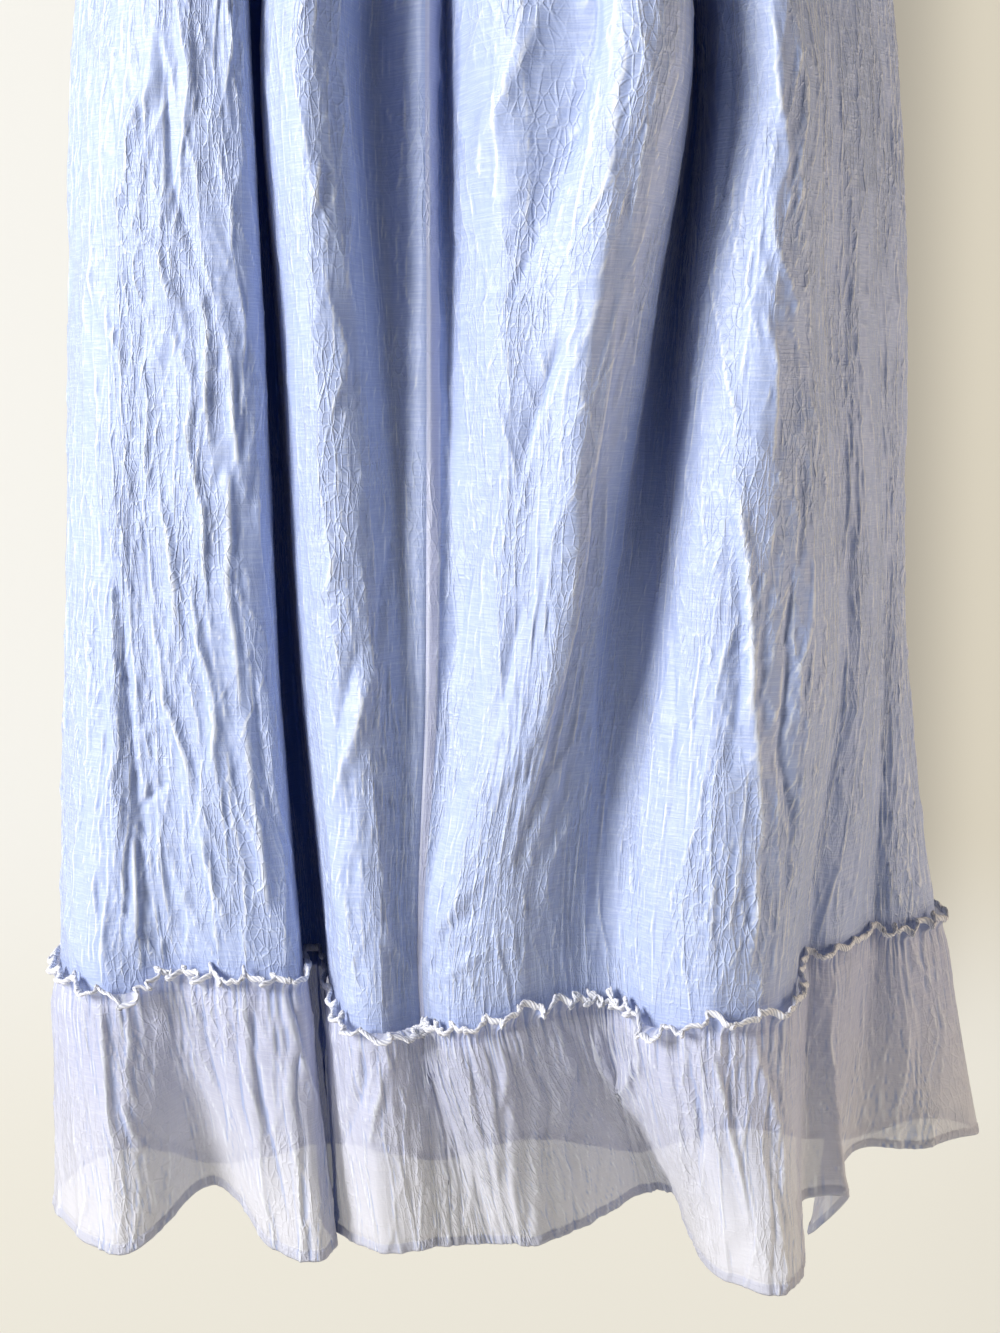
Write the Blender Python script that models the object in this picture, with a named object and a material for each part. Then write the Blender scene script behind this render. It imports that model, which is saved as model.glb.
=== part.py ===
"""A maxi skirt of crinkled gauze, hanging from its waist with its folds as it hangs.

Metres, +Z up. The origin is the centre of the waist's top edge. X runs across the skirt,
left to right as it is seen from the front, and -Y is the front.
"""
import math

import bmesh
import bpy
import numpy as np

MM = 0.001

# heights, down from the waist's top edge
BAND_FOOT = -0.035
SWELL = -0.220
UPPER = -0.410
LOWER = -0.610
SEAM = -0.790
HEM = -0.950
LEVELS = (BAND_FOOT, SWELL, UPPER, LOWER, SEAM, HEM)

# the waist's oval, as wide and as deep as the elastic is held
WAIST_WIDTH = 0.400
WAIST_DEPTH = 0.095

# cloth
WALL = 1.2 * MM
BAND_WALL = 2.4 * MM
HEM_WALL = 2.0 * MM
SEAM_GAP = 0.3 * MM
STITCH_EASE = 0.5 * MM
POINT_SPACING = 12.5 * MM

# gathers: how far they stand off the cloth's line, to each side
BAND_GATHER = 1.6 * MM
WAIST_GATHER = 4.6 * MM
WAIST_GATHER_RISE = 0.030
WAIST_GATHER_FADE = 0.120
SEAM_GATHER = 3.4 * MM
HEM_GATHER = 2.6 * MM
HEADING_FLARE = 3.0 * MM
HEADING_SPREAD = 1.15
STITCH_DRAW = 0.7
POINTS_A_GATHER = 4

# the waistband's rings: height, and share of its full gather there
BAND_RINGS = (
    (0.0, 0.8),
    (0.5 * BAND_FOOT, 1.0),
    (BAND_FOOT, 0.9),
)

# the flounce: its frilled heading stands above the seam, its hem is a narrow double fold
HEADING = 0.010
PANEL_TUCK = 0.005
HEM_FOLD = 0.007

# where the cloth has a ring of points between the waistband and the seam, and in the flounce
PANEL_HEIGHTS = (-0.065, -0.110, -0.165, SWELL, -0.310, -0.450, LOWER, -0.710)
FLOUNCE_HEIGHTS = (-0.805, -0.845, -0.895, HEM + HEM_FOLD, HEM)

# Each fold of the front, left to right, in millimetres: where it is across the skirt at
# five heights, how deep it is at three (the front is minus), how much lower than level its
# seam and its hem hang, and how much of the full gather it has.
FOLDS = (
    # name,           across: swell, upper, lower, seam, hem,
    #                 depth: swell, seam, hem, then seam drop, hem drop, gather
    ("left edge",     -239, -249, -256, -265, -275,   15,    2,    0,  9,  0, 0.6),
    ("left crest",    -206, -214, -221, -231, -238,  -38,  -55,  -75,  5,  0, 1.0),
    ("left hollow",   -178, -189, -195, -200, -191,  -50,  -50,   15,  0,  0, 1.0),
    ("left swell",    -152, -156, -155, -145, -129,  -60,  -62,  -70,  0,  0, 1.0),
    ("left lip",      -136, -130, -121, -112,  -99,  -58,  -58,  -80,  0,  0, 0.7),
    ("left turn",     -132, -125, -116, -109,  -90,  -40,  -38,  -62,  1,  0, 0.2),
    ("gap left",      -140, -132, -122, -115, -101,    4,    4,  -22,  3,  0, 0.1),
    ("gap floor",     -134, -127, -116, -107,  -95,   26,   20,   12,  6,  0, 0.1),
    ("gap right",     -128, -121, -109,  -99,  -85,    4,    4,  -20,  9,  0, 0.1),
    ("middle turn",   -121, -113, -102,  -92,  -75,  -42,  -42,  -50, 13, -2, 0.2),
    ("middle crest",  -105,  -98,  -88,  -77,  -59,  -70,  -80,  -84, 18, -5, 0.7),
    ("middle right",   -84,  -76,  -69,  -60,  -38,  -48,  -88,  -88, 22, -7, 1.0),
    ("hollow left",    -72,  -62,  -52,  -47,  -22,  -10,  -84,  -84, 24, -7, 1.0),
    ("front seam",     -36,  -35,  -35,  -34,   -4,   -8,  -87,  -88, 24, -7, 1.0),
    ("hollow floor",   -24,  -25,  -25,  -22,    8,   16,  -90,  -88, 24, -7, 1.0),
    ("big turn",       -16,  -17,  -15,  -11,   17,  -42,  -94,  -85, 21, -7, 1.0),
    ("big crest",        8,    2,   -2,    2,   28,  -80,  -96,  -78, 16, -6, 1.0),
    ("big dip",         42,   24,   14,   17,   47,  -82,  -93,  -52, 12, -3, 1.0),
    ("big swell",       83,   62,   36,   34,   76,  -98,  -86,  -15, 10,  0, 1.0),
    ("big lip",        114,   91,   57,   51,  102,  -66,  -73,   12,  9,  0, 1.0),
    ("deep left",      123,  101,   70,   64,  116,   -6,  -72,    8, 10,  0, 1.0),
    ("deep floor",     134,  111,   84,   77,  122,   16,  -78,  -40, 12,  0, 1.0),
    ("right swell",    143,  123,  102,   94,  128,  -25,  -90,  -85, 13,  0, 1.0),
    ("right crest",    157,  145,  128,  120,  142,  -55, -100, -112, 12,  0, 1.0),
    ("right lip",      173,  177,  174,  158,  164,  -42,  -94, -120, 12,  0, 0.9),
    ("right turn",     183,  189,  196,  180,  182,  -22,  -60, -100, 11,  0, 0.5),
    ("flank end",      194,  200,  208,  190,  190,    0,   -8,  -40,  9,  0, 0.3),
    ("side dip",       204,  211,  217,  197,  201,   18,   18,    6,  6,  0, 0.3),
    ("side fold",      214,  222,  228,  212,  228,   20,    2,    4,  9,  0, 0.6),
    ("under fold",     224,  234,  240,  231,  210,   36,   34,   34,  7, 38, 0.3),
    ("side hollow",    232,  244,  252,  249,  246,   52,   68,   84,  6,  0, 0.5),
    ("side swell",     241,  253,  260,  266,  296,   58,   58,   92,  9,  0, 1.0),
    ("right edge",     251,  266,  273,  303,  341,   78,   92,   88,  6,  0, 0.6),
)

# how much of a fold's change of depth from the swell to the seam is done at the two heights
# between
UPPER_DONE = 0.36
LOWER_DONE = 0.80

# The back hangs in even folds: how many, their mid-line's depth at its right and left ends
# at the three heights, how far they swing, and how far in from the side edges they start.
BACK_FOLDS = 4
BACK_RIGHT_DEPTH = (92, 114, 132)
BACK_LEFT_DEPTH = (70, 80, 84)
BACK_SWING = (9, 13, 20)
BACK_INSET = (22, 24, 26)
BACK_SEAM_DROP = 6
BACK_HEM_DROP = 0
BACK_GATHER = 0.9

# Where the frilled heading flops outward: across and how wide, in millimetres.
FLOPS = (
    ("left flop", -214, 26),
    ("middle flop", -66, 24),
    ("right flop", 96, 20),
)
FLOP_REACH = 9 * MM
FLOP_SINK = 11 * MM


def clear_scene():
    for thing in list(bpy.data.objects):
        bpy.data.objects.remove(thing, do_unlink=True)


def cloth(name, colour):
    """A soft matt cloth of one colour."""
    made = bpy.data.materials.new(name)
    made.use_nodes = True
    shader = made.node_tree.nodes["Principled BSDF"]
    shader.inputs["Base Color"].default_value = (*colour, 1.0)
    shader.inputs["Roughness"].default_value = 0.75
    shader.inputs["Metallic"].default_value = 0.0
    return made


def smooth(t):
    t = min(max(t, 0.0), 1.0)
    return t * t * (3.0 - 2.0 * t)


def three_heights_to_five(depths):
    """Depths at the swell, seam and hem, filled in at the two heights between."""
    swell, seam, hem = depths
    upper = swell + (seam - swell) * UPPER_DONE
    lower = swell + (seam - swell) * LOWER_DONE
    return [swell, upper, lower, seam, hem]


def front_folds():
    """Each front fold: across and depth at five heights, seam drop, hem drop, gather."""
    made = []
    for row in FOLDS:
        made.append((list(row[1:6]), three_heights_to_five(row[6:9]), *row[9:]))
    return made


def back_folds(right_edge, left_edge):
    """The back's even folds, right to left, between the two side edges."""
    made = []
    turns = 2 * BACK_FOLDS + 1
    for turn in range(turns):
        share = turn / (turns - 1)
        swing = -1 if turn % 2 else 1
        inset = three_heights_to_five(BACK_INSET)
        start = [edge - gap for edge, gap in zip(right_edge, inset)]
        end = [edge + gap for edge, gap in zip(left_edge, inset)]
        across = [a + (b - a) * share for a, b in zip(start, end)]
        depths = []
        for right, left, reach in zip(BACK_RIGHT_DEPTH, BACK_LEFT_DEPTH, BACK_SWING):
            reach_here = reach * swing * (0.75 + 0.25 * math.cos(2.4 * turn))
            depths.append(right + (left - right) * share + reach_here)
        heights = three_heights_to_five(depths)
        made.append((across, heights, BACK_SEAM_DROP, BACK_HEM_DROP, BACK_GATHER))
    return made


def oval_point(share):
    """A point of the waist's oval, by its share of the way round from the left side."""
    steps = 720
    turn = np.linspace(0.0, 2.0 * math.pi, steps + 1)
    x = -0.5 * WAIST_WIDTH * np.cos(turn)
    y = -0.5 * WAIST_DEPTH * np.sin(turn)
    run = np.concatenate(([0.0], np.cumsum(np.hypot(np.diff(x), np.diff(y)))))
    goal = share * run[-1]
    return float(np.interp(goal, run, x)), float(np.interp(goal, run, y))


# what a point of the skirt's line holds
SEAM_DROP = 2
HEM_DROP = 3
GATHER = 4


class Skirt:
    """The skirt's line in plan at any height, as one closed curve through its folds."""

    def __init__(self):
        front = front_folds()
        right_edge = front[-1][0]
        left_edge = front[0][0]
        folds = front + back_folds(right_edge, left_edge)
        self.right = len(front) - 1
        self.front_seam = [row[0] for row in FOLDS].index("front seam")
        self.seam_drop = np.array([fold[2] for fold in folds]) * MM
        self.hem_drop = np.array([fold[3] for fold in folds]) * MM
        self.gather = np.array([fold[4] for fold in folds])
        across = np.array([fold[0] for fold in folds]) * MM
        depth = np.array([fold[1] for fold in folds]) * MM
        self.steps = self.count_steps(across, depth)
        self.columns = sum(self.steps)
        waist = np.array([oval_point(share) for share in self.waist_shares()])
        self.across = np.column_stack((waist[:, 0], across))
        self.depth = np.column_stack((waist[:, 1], depth))

    def count_steps(self, across, depth):
        """How many points each stretch between two folds gets, by its mean length."""
        step_across = np.roll(across, -1, axis=0) - across
        step_depth = np.roll(depth, -1, axis=0) - depth
        lengths = np.hypot(step_across, step_depth).mean(axis=1)
        counts = [max(2, round(length / POINT_SPACING)) for length in lengths]
        while sum(counts) % POINTS_A_GATHER:
            counts[-1] += 1
        return counts

    def column_of(self, fold):
        return sum(self.steps[:fold])

    def waist_shares(self):
        """Each fold's place round the waist: the front takes one half and the back the other."""
        right = self.column_of(self.right)
        shares = []
        for fold in range(len(self.steps)):
            column = self.column_of(fold)
            if column <= right:
                shares.append(0.5 * column / right)
            else:
                shares.append(0.5 + 0.5 * (column - right) / (self.columns - right))
        return shares

    def folds_at(self, height):
        """Every fold's (across, depth, seam drop, hem drop, gather) at one height."""
        levels = np.array(LEVELS)
        span = int(np.clip(np.searchsorted(-levels, -height) - 1, 0, len(levels) - 2))
        t = (height - levels[span]) / (levels[span + 1] - levels[span])
        placed = []
        for table in (self.across, self.depth):
            slopes = np.gradient(table, levels, axis=1)
            reach = levels[span + 1] - levels[span]
            a, b = table[:, span], table[:, span + 1]
            ma, mb = slopes[:, span] * reach, slopes[:, span + 1] * reach
            placed.append((2 * t**3 - 3 * t**2 + 1) * a + (t**3 - 2 * t**2 + t) * ma
                          + (3 * t**2 - 2 * t**3) * b + (t**3 - t**2) * mb)
        return np.column_stack((*placed, self.seam_drop, self.hem_drop, self.gather))

    def line(self, height, fineness=1):
        """The closed curve at one height, its points shared out the same way at every height."""
        folds = self.folds_at(height)
        count = len(folds)
        points = []
        for here in range(count):
            p0, p1, p2, p3 = (folds[(here + k) % count] for k in (-1, 0, 1, 2))
            knots = [0.0]
            for a, b in ((p0, p1), (p1, p2), (p2, p3)):
                knots.append(knots[-1] + max(math.dist(a[:2], b[:2]), 1e-5) ** 0.5)
            t0, t1, t2, t3 = knots
            steps = self.steps[here] * fineness
            for step in range(steps):
                t = t1 + (t2 - t1) * step / steps
                a1 = p0 * (t1 - t) / (t1 - t0) + p1 * (t - t0) / (t1 - t0)
                a2 = p1 * (t2 - t) / (t2 - t1) + p2 * (t - t1) / (t2 - t1)
                a3 = p2 * (t3 - t) / (t3 - t2) + p3 * (t - t2) / (t3 - t2)
                b1 = a1 * (t2 - t) / (t2 - t0) + a2 * (t - t0) / (t2 - t0)
                b2 = a2 * (t3 - t) / (t3 - t1) + a3 * (t - t1) / (t3 - t1)
                points.append(b1 * (t2 - t) / (t2 - t1) + b2 * (t - t1) / (t2 - t1))
        return np.array(points)


def outward(line):
    """Unit vectors in plan, square to a closed line, pointing out of the skirt."""
    along = np.roll(line[:, :2], -1, axis=0) - np.roll(line[:, :2], 1, axis=0)
    along /= np.linalg.norm(along, axis=1)[:, None]
    return np.column_stack((along[:, 1], -along[:, 0]))


def gather_wave(columns):
    """Waves round the skirt, one every few points, no two quite alike."""
    column = np.arange(columns)
    number = column // POINTS_A_GATHER
    height = 0.78 + 0.22 * np.sin(2.1 * number) * np.cos(0.7 * number)
    return height * np.sin(2.0 * math.pi * column / POINTS_A_GATHER)


def panel_rings(skirt):
    """The skirt's cloth from the waistband to just under the flounce."""
    heights = [BAND_FOOT - SEAM_GAP, *PANEL_HEIGHTS, SEAM - PANEL_TUCK]
    wave = gather_wave(skirt.columns)
    rings = []
    for height in heights:
        line = skirt.line(height)
        rise = smooth((BAND_FOOT - height) / WAIST_GATHER_RISE)
        fade = 1.0 - smooth((BAND_FOOT - height) / WAIST_GATHER_FADE)
        reach = (BAND_GATHER + (WAIST_GATHER - BAND_GATHER) * rise) * fade
        plan = line[:, :2] + outward(line) * (reach * wave)[:, None]
        sag = smooth((LOWER - height) / (LOWER - SEAM)) * line[:, SEAM_DROP]
        rings.append(np.column_stack((plan, height - sag)))
    return rings


def band_rings(skirt):
    """The waistband, gathered on its elastic."""
    rings = []
    wave = gather_wave(skirt.columns)
    line = skirt.line(BAND_FOOT)
    for height, share in BAND_RINGS:
        plan = line[:, :2] + outward(line) * (share * BAND_GATHER * wave)[:, None]
        rings.append(np.column_stack((plan, np.full(len(plan), height))))
    return rings


def flop_share(across):
    """How far the heading flops outward at one place: 0 upright, 1 right over."""
    share = 0.0
    for _, middle, width in FLOPS:
        share = max(share, 1.0 - abs(across - middle * MM) / (width * MM))
    return smooth(share)


def seam_line(skirt):
    """The panel's own line at the seam, with a point more between each two."""
    coarse = skirt.line(SEAM)
    between = 0.5 * (coarse + np.roll(coarse, -1, axis=0))
    return np.stack((coarse, between), axis=1).reshape(-1, coarse.shape[1])


def flounce_rings(skirt):
    """The gathered flounce: heading, stitched seam, and the fall to its hem."""
    wave = gather_wave(2 * skirt.columns)
    seat = 0.5 * WALL + SEAM_GAP + STITCH_EASE + 0.5 * WALL
    at_seam = seam_line(skirt)
    drop = at_seam[:, SEAM_DROP]
    full = SEAM_GATHER * at_seam[:, GATHER] * (1.0 + wave)
    out = outward(at_seam)
    rings = []
    heading = np.array([flop_share(x) if y < 0 else 0.0 for x, y in at_seam[:, :2]])
    flare = HEADING_FLARE * at_seam[:, GATHER] + FLOP_REACH * heading
    plan = at_seam[:, :2] + out * (seat + HEADING_SPREAD * full + flare)[:, None]
    rings.append(np.column_stack((plan, SEAM - drop + HEADING - FLOP_SINK * heading)))
    plan = at_seam[:, :2] + out * (seat + STITCH_DRAW * full)[:, None]
    rings.append(np.column_stack((plan, SEAM - drop)))
    for height in FLOUNCE_HEIGHTS:
        share = (SEAM - height) / (SEAM - HEM)
        line = skirt.line(height, fineness=2)
        if height > SEAM - 3.5 * PANEL_TUCK:
            line[:, :2] += at_seam[:, :2] - skirt.line(SEAM, fineness=2)[:, :2]
        loose = HEM_GATHER * line[:, GATHER] * wave
        reach = (1.0 - smooth(share)) * (seat + full) + smooth(share) * loose
        plan = line[:, :2] + outward(line) * reach[:, None]
        sag = (1.0 - share) * drop + smooth(share) * line[:, HEM_DROP]
        rings.append(np.column_stack((plan, height - sag)))
    return rings


def wall(name, rings, thickness, material, first=None, last=None):
    """A closed wall of even thickness along rings of points, whole or from one column to another."""
    outer, inner = [], []
    for ring, wide in zip(rings, thickness):
        square = outward(ring)
        along = np.column_stack((-square[:, 1], square[:, 0]))
        centre = ring.copy()
        columns = range(len(ring))
        if first is not None:
            columns = [column % len(ring) for column in range(first, last + 1)]
            centre[columns[0], :2] += along[columns[0]] * 0.5 * SEAM_GAP
            centre[columns[-1], :2] -= along[columns[-1]] * 0.5 * SEAM_GAP
        half = np.column_stack((square, np.zeros(len(square)))) * 0.5 * wide
        outer.append([centre[column] + half[column] for column in columns])
        inner.append([centre[column] - half[column] for column in columns])

    shape = bmesh.new()
    outside = [[shape.verts.new(point) for point in ring] for ring in outer]
    inside = [[shape.verts.new(point) for point in ring] for ring in inner]
    closed = first is None
    count = len(outside[0])
    spans = range(count if closed else count - 1)
    for upper in range(len(rings) - 1):
        lower = upper + 1
        for column in spans:
            after = (column + 1) % count
            shape.faces.new((outside[upper][column], outside[lower][column],
                             outside[lower][after], outside[upper][after]))
            shape.faces.new((inside[upper][after], inside[lower][after],
                             inside[lower][column], inside[upper][column]))
        if not closed:
            shape.faces.new((inside[upper][0], inside[lower][0],
                             outside[lower][0], outside[upper][0]))
            shape.faces.new((outside[upper][-1], outside[lower][-1],
                             inside[lower][-1], inside[upper][-1]))
    for column in spans:
        after = (column + 1) % count
        shape.faces.new((outside[0][column], outside[0][after],
                         inside[0][after], inside[0][column]))
        shape.faces.new((inside[-1][column], inside[-1][after],
                         outside[-1][after], outside[-1][column]))
    mesh = bpy.data.meshes.new(name)
    shape.to_mesh(mesh)
    shape.free()
    mesh.shade_smooth()
    made = bpy.data.objects.new(name, mesh)
    made.data.materials.append(material)
    bpy.context.collection.objects.link(made)
    return made


def build_waistband(skirt, gauze):
    rings = band_rings(skirt)
    return wall("waistband", rings, [BAND_WALL] * len(rings), gauze)


def build_panels(skirt, gauze):
    rings = panel_rings(skirt)
    widths = [WALL] * len(rings)
    middle = skirt.column_of(skirt.front_seam)
    right = skirt.column_of(skirt.right)
    wall("front_left", rings, widths, gauze, 0, middle)
    wall("front_right", rings, widths, gauze, middle, right)
    wall("back", rings, widths, gauze, right, skirt.columns)


def build_flounces(skirt, gauze):
    rings = flounce_rings(skirt)
    widths = [WALL] * (len(rings) - 2) + [HEM_WALL, HEM_WALL]
    right = 2 * skirt.column_of(skirt.right)
    wall("flounce_front", rings, widths, gauze, 0, right)
    wall("flounce_back", rings, widths, gauze, right, 2 * skirt.columns)


def build():
    clear_scene()
    skirt = Skirt()
    build_waistband(skirt, cloth("waistband gauze", (0.34, 0.45, 0.76)))
    build_panels(skirt, cloth("panel gauze", (0.36, 0.47, 0.78)))
    build_flounces(skirt, cloth("flounce gauze", (0.45, 0.52, 0.78)))


build()
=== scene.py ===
"""The looks of a maxi skirt of crinkled gauze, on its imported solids.

Metres, +Z up, -Y is the front. Each piece is a sheet with its solid's folds, some of them moved
a little nearer to the photo, far finer, with the gauze's crinkles and gathers raised in the mesh.
"""
import math

import bpy
import numpy as np
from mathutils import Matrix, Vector


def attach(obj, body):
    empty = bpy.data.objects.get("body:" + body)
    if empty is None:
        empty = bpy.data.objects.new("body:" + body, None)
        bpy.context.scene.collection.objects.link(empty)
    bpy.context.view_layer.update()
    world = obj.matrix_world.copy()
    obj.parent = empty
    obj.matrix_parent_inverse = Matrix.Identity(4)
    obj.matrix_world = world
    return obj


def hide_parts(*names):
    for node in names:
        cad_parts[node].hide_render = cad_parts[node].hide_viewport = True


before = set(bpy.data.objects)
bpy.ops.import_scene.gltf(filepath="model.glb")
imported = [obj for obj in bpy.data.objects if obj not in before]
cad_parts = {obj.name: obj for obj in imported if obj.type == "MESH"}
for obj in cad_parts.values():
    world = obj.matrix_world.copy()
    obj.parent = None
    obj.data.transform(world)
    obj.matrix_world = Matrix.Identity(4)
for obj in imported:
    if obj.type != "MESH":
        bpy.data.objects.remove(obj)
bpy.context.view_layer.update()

MM = 0.001

# heights, down from the waist's top edge
BAND_FOOT = -0.035
SWELL = -0.220
UPPER = -0.410
LOWER = -0.610
SEAM = -0.790
HEM = -0.950
LEVELS = (BAND_FOOT, SWELL, UPPER, LOWER, SEAM, HEM)

# the waist's oval, and the spacing that shares the folds out round it
WAIST_WIDTH = 0.400
WAIST_DEPTH = 0.095
POINT_SPACING = 12.5 * MM
POINTS_A_GATHER = 4

# how the flounce sits on the panels
SEAT = 2.0 * MM
SEAM_GATHER = 3.4 * MM
HEADING = 10 * MM
HEADING_FLARE = 3.0 * MM
HEADING_SPREAD = 1.15
STITCH_DRAW = 0.7
PANEL_TUCK = 5 * MM
HEM_FOLD = 7 * MM
SEAM_GAP = 0.3 * MM

# Each fold of the front, left to right, in millimetres: where it is across the skirt at
# five heights, how deep it is at three (the front is minus), how much lower than level its
# seam and its hem hang, its share of the full gather, and how crinkled its cloth is.
FOLDS = (
    # name,           across: swell, upper, lower, seam, hem,
    #                 depth: swell, seam, hem, then seam drop, hem drop, gather, crinkled
    ("left edge",     -239, -249, -256, -265, -275,   15,    2,    0,  9,  0, 0.6, 0.9),
    ("left crest",    -206, -214, -220, -228, -212,  -38,  -55,  -70,  5,  0, 1.0, 1.0),
    ("left hollow",   -178, -188, -192, -183, -168,  -56,  -50,  -26,  0,-22, 1.0, 0.85),
    ("left swell",    -152, -156, -157, -141, -127,  -58,  -62,  -68,  0,  0, 1.0, 0.9),
    ("left lip",      -136, -132, -125, -113,  -99,  -54,  -58,  -80,  0,  0, 0.7, 0.8),
    ("left turn",     -132, -127, -121, -110,  -90,  -40,  -38,  -62,  1,  0, 0.2, 0.3),
    ("gap left",      -140, -134, -127, -116, -103,    4,    4,  -22,  3,  0, 0.1, 0.1),
    ("gap floor",     -134, -129, -121, -108,  -99,   26,   20,    6,  6,  0, 0.1, 0.1),
    ("gap right",     -128, -123, -114, -100,  -94,    4,    4,  -20,  9,  0, 0.1, 0.1),
    ("middle turn",   -121, -115, -107,  -93,  -90,  -42,  -42,  -48, 13, -2, 0.2, 0.3),
    ("middle crest",   -97,  -94,  -88,  -77,  -61,  -72,  -80,  -78, 18, -4, 0.7, 0.5),
    ("middle right",   -79,  -74,  -68,  -60,  -43,  -57,  -86,  -77, 17, -5, 0.7, 0.55),
    ("hollow left",    -63,  -56,  -47,  -46,  -22,  -12,  -76,  -70, 18, -5, 0.7, 0.5),
    ("front seam",     -34,  -34,  -35,  -38,   -4,  -34,  -71,  -66, 20, -4, 0.7, 0.45),
    ("hollow floor",   -23,  -22,  -22,  -33,    8,  -12,  -74,  -65, 22, -3, 0.7, 0.5),
    ("big turn",       -13,  -10,   -9,  -28,   17,  -42,  -79,  -69, 23, -5, 0.8, 0.55),
    ("big crest",        8,    6,    5,  -19,   28,  -76,  -86,  -71, 21, -6, 0.9, 0.6),
    ("big dip",         42,   26,   18,   -3,   47,  -84,  -88,  -57, 18, -6, 1.0, 0.6),
    ("big swell",       85,   59,   33,   17,   76,  -98,  -84,  -30, 12, -8, 1.0, 0.6),
    ("big lip",        106,   86,   54,   44,  102,  -76,  -71,   -8,  9,-12, 1.0, 0.5),
    ("deep left",      114,   98,   70,   62,  116,   -6,  -64,  -10, 10,-10, 1.0, 0.5),
    ("deep floor",     121,  108,   84,   77,  122,   16,  -66,  -44, 12,  0, 1.0, 0.5),
    ("right swell",    129,  121,  107,   98,  128,  -38,  -86,  -85, 13,  0, 1.0, 0.6),
    ("right crest",    155,  153,  134,  127,  142,  -68, -100, -108, 12,  0, 1.0, 0.8),
    ("right lip",      175,  180,  176,  160,  164,  -44,  -91, -123, 12,  0, 0.9, 1.0),
    ("right turn",     183,  189,  196,  180,  182,  -22,  -60, -100, 11,  0, 0.5, 1.0),
    ("flank end",      194,  200,  208,  190,  190,    0,   -8,  -40,  9,  0, 0.3, 0.9),
    ("side dip",       204,  211,  217,  199,  201,   14,   12,    6,  6,  0, 0.3, 0.8),
    ("side fold",      214,  222,  228,  213,  228,   24,   16,    6,  9,  0, 0.6, 1.0),
    ("under fold",     224,  233,  240,  230,  210,   35,   32,   34,  7, 38, 0.3, 0.7),
    ("side hollow",    233,  244,  252,  250,  246,   46,   60,   74,  6,  0, 0.5, 0.7),
    ("side swell",     242,  254,  261,  267,  296,   60,   66,   84,  9,  0, 1.0, 1.0),
    ("right edge",     251,  266,  273,  303,  341,   84,   98,  112,  6,  0, 0.6, 0.8),
)

# how much of a fold's change of depth from the swell to the seam is done at the two heights
# between
UPPER_DONE = 0.36
LOWER_DONE = 0.80

# the back's even folds
BACK_FOLDS = 4
BACK_RIGHT_DEPTH = (92, 114, 132)
BACK_LEFT_DEPTH = (70, 80, 84)
BACK_SWING = (9, 13, 20)
BACK_INSET = (22, 24, 26)
BACK_SEAM_DROP = 6
BACK_HEM_DROP = 8
BACK_GATHER = 0.9
BACK_CRINKLED = 0.9

# Where the frilled heading flops outward: across, and how far it reaches to the left and to
# the right of there, in millimetres.
FLOPS = ((-210, 34, 14), (-52, 40, 26), (101, 14, 24))
FLOP_REACH = 8 * MM
FLOP_SINK = 12 * MM

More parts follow.
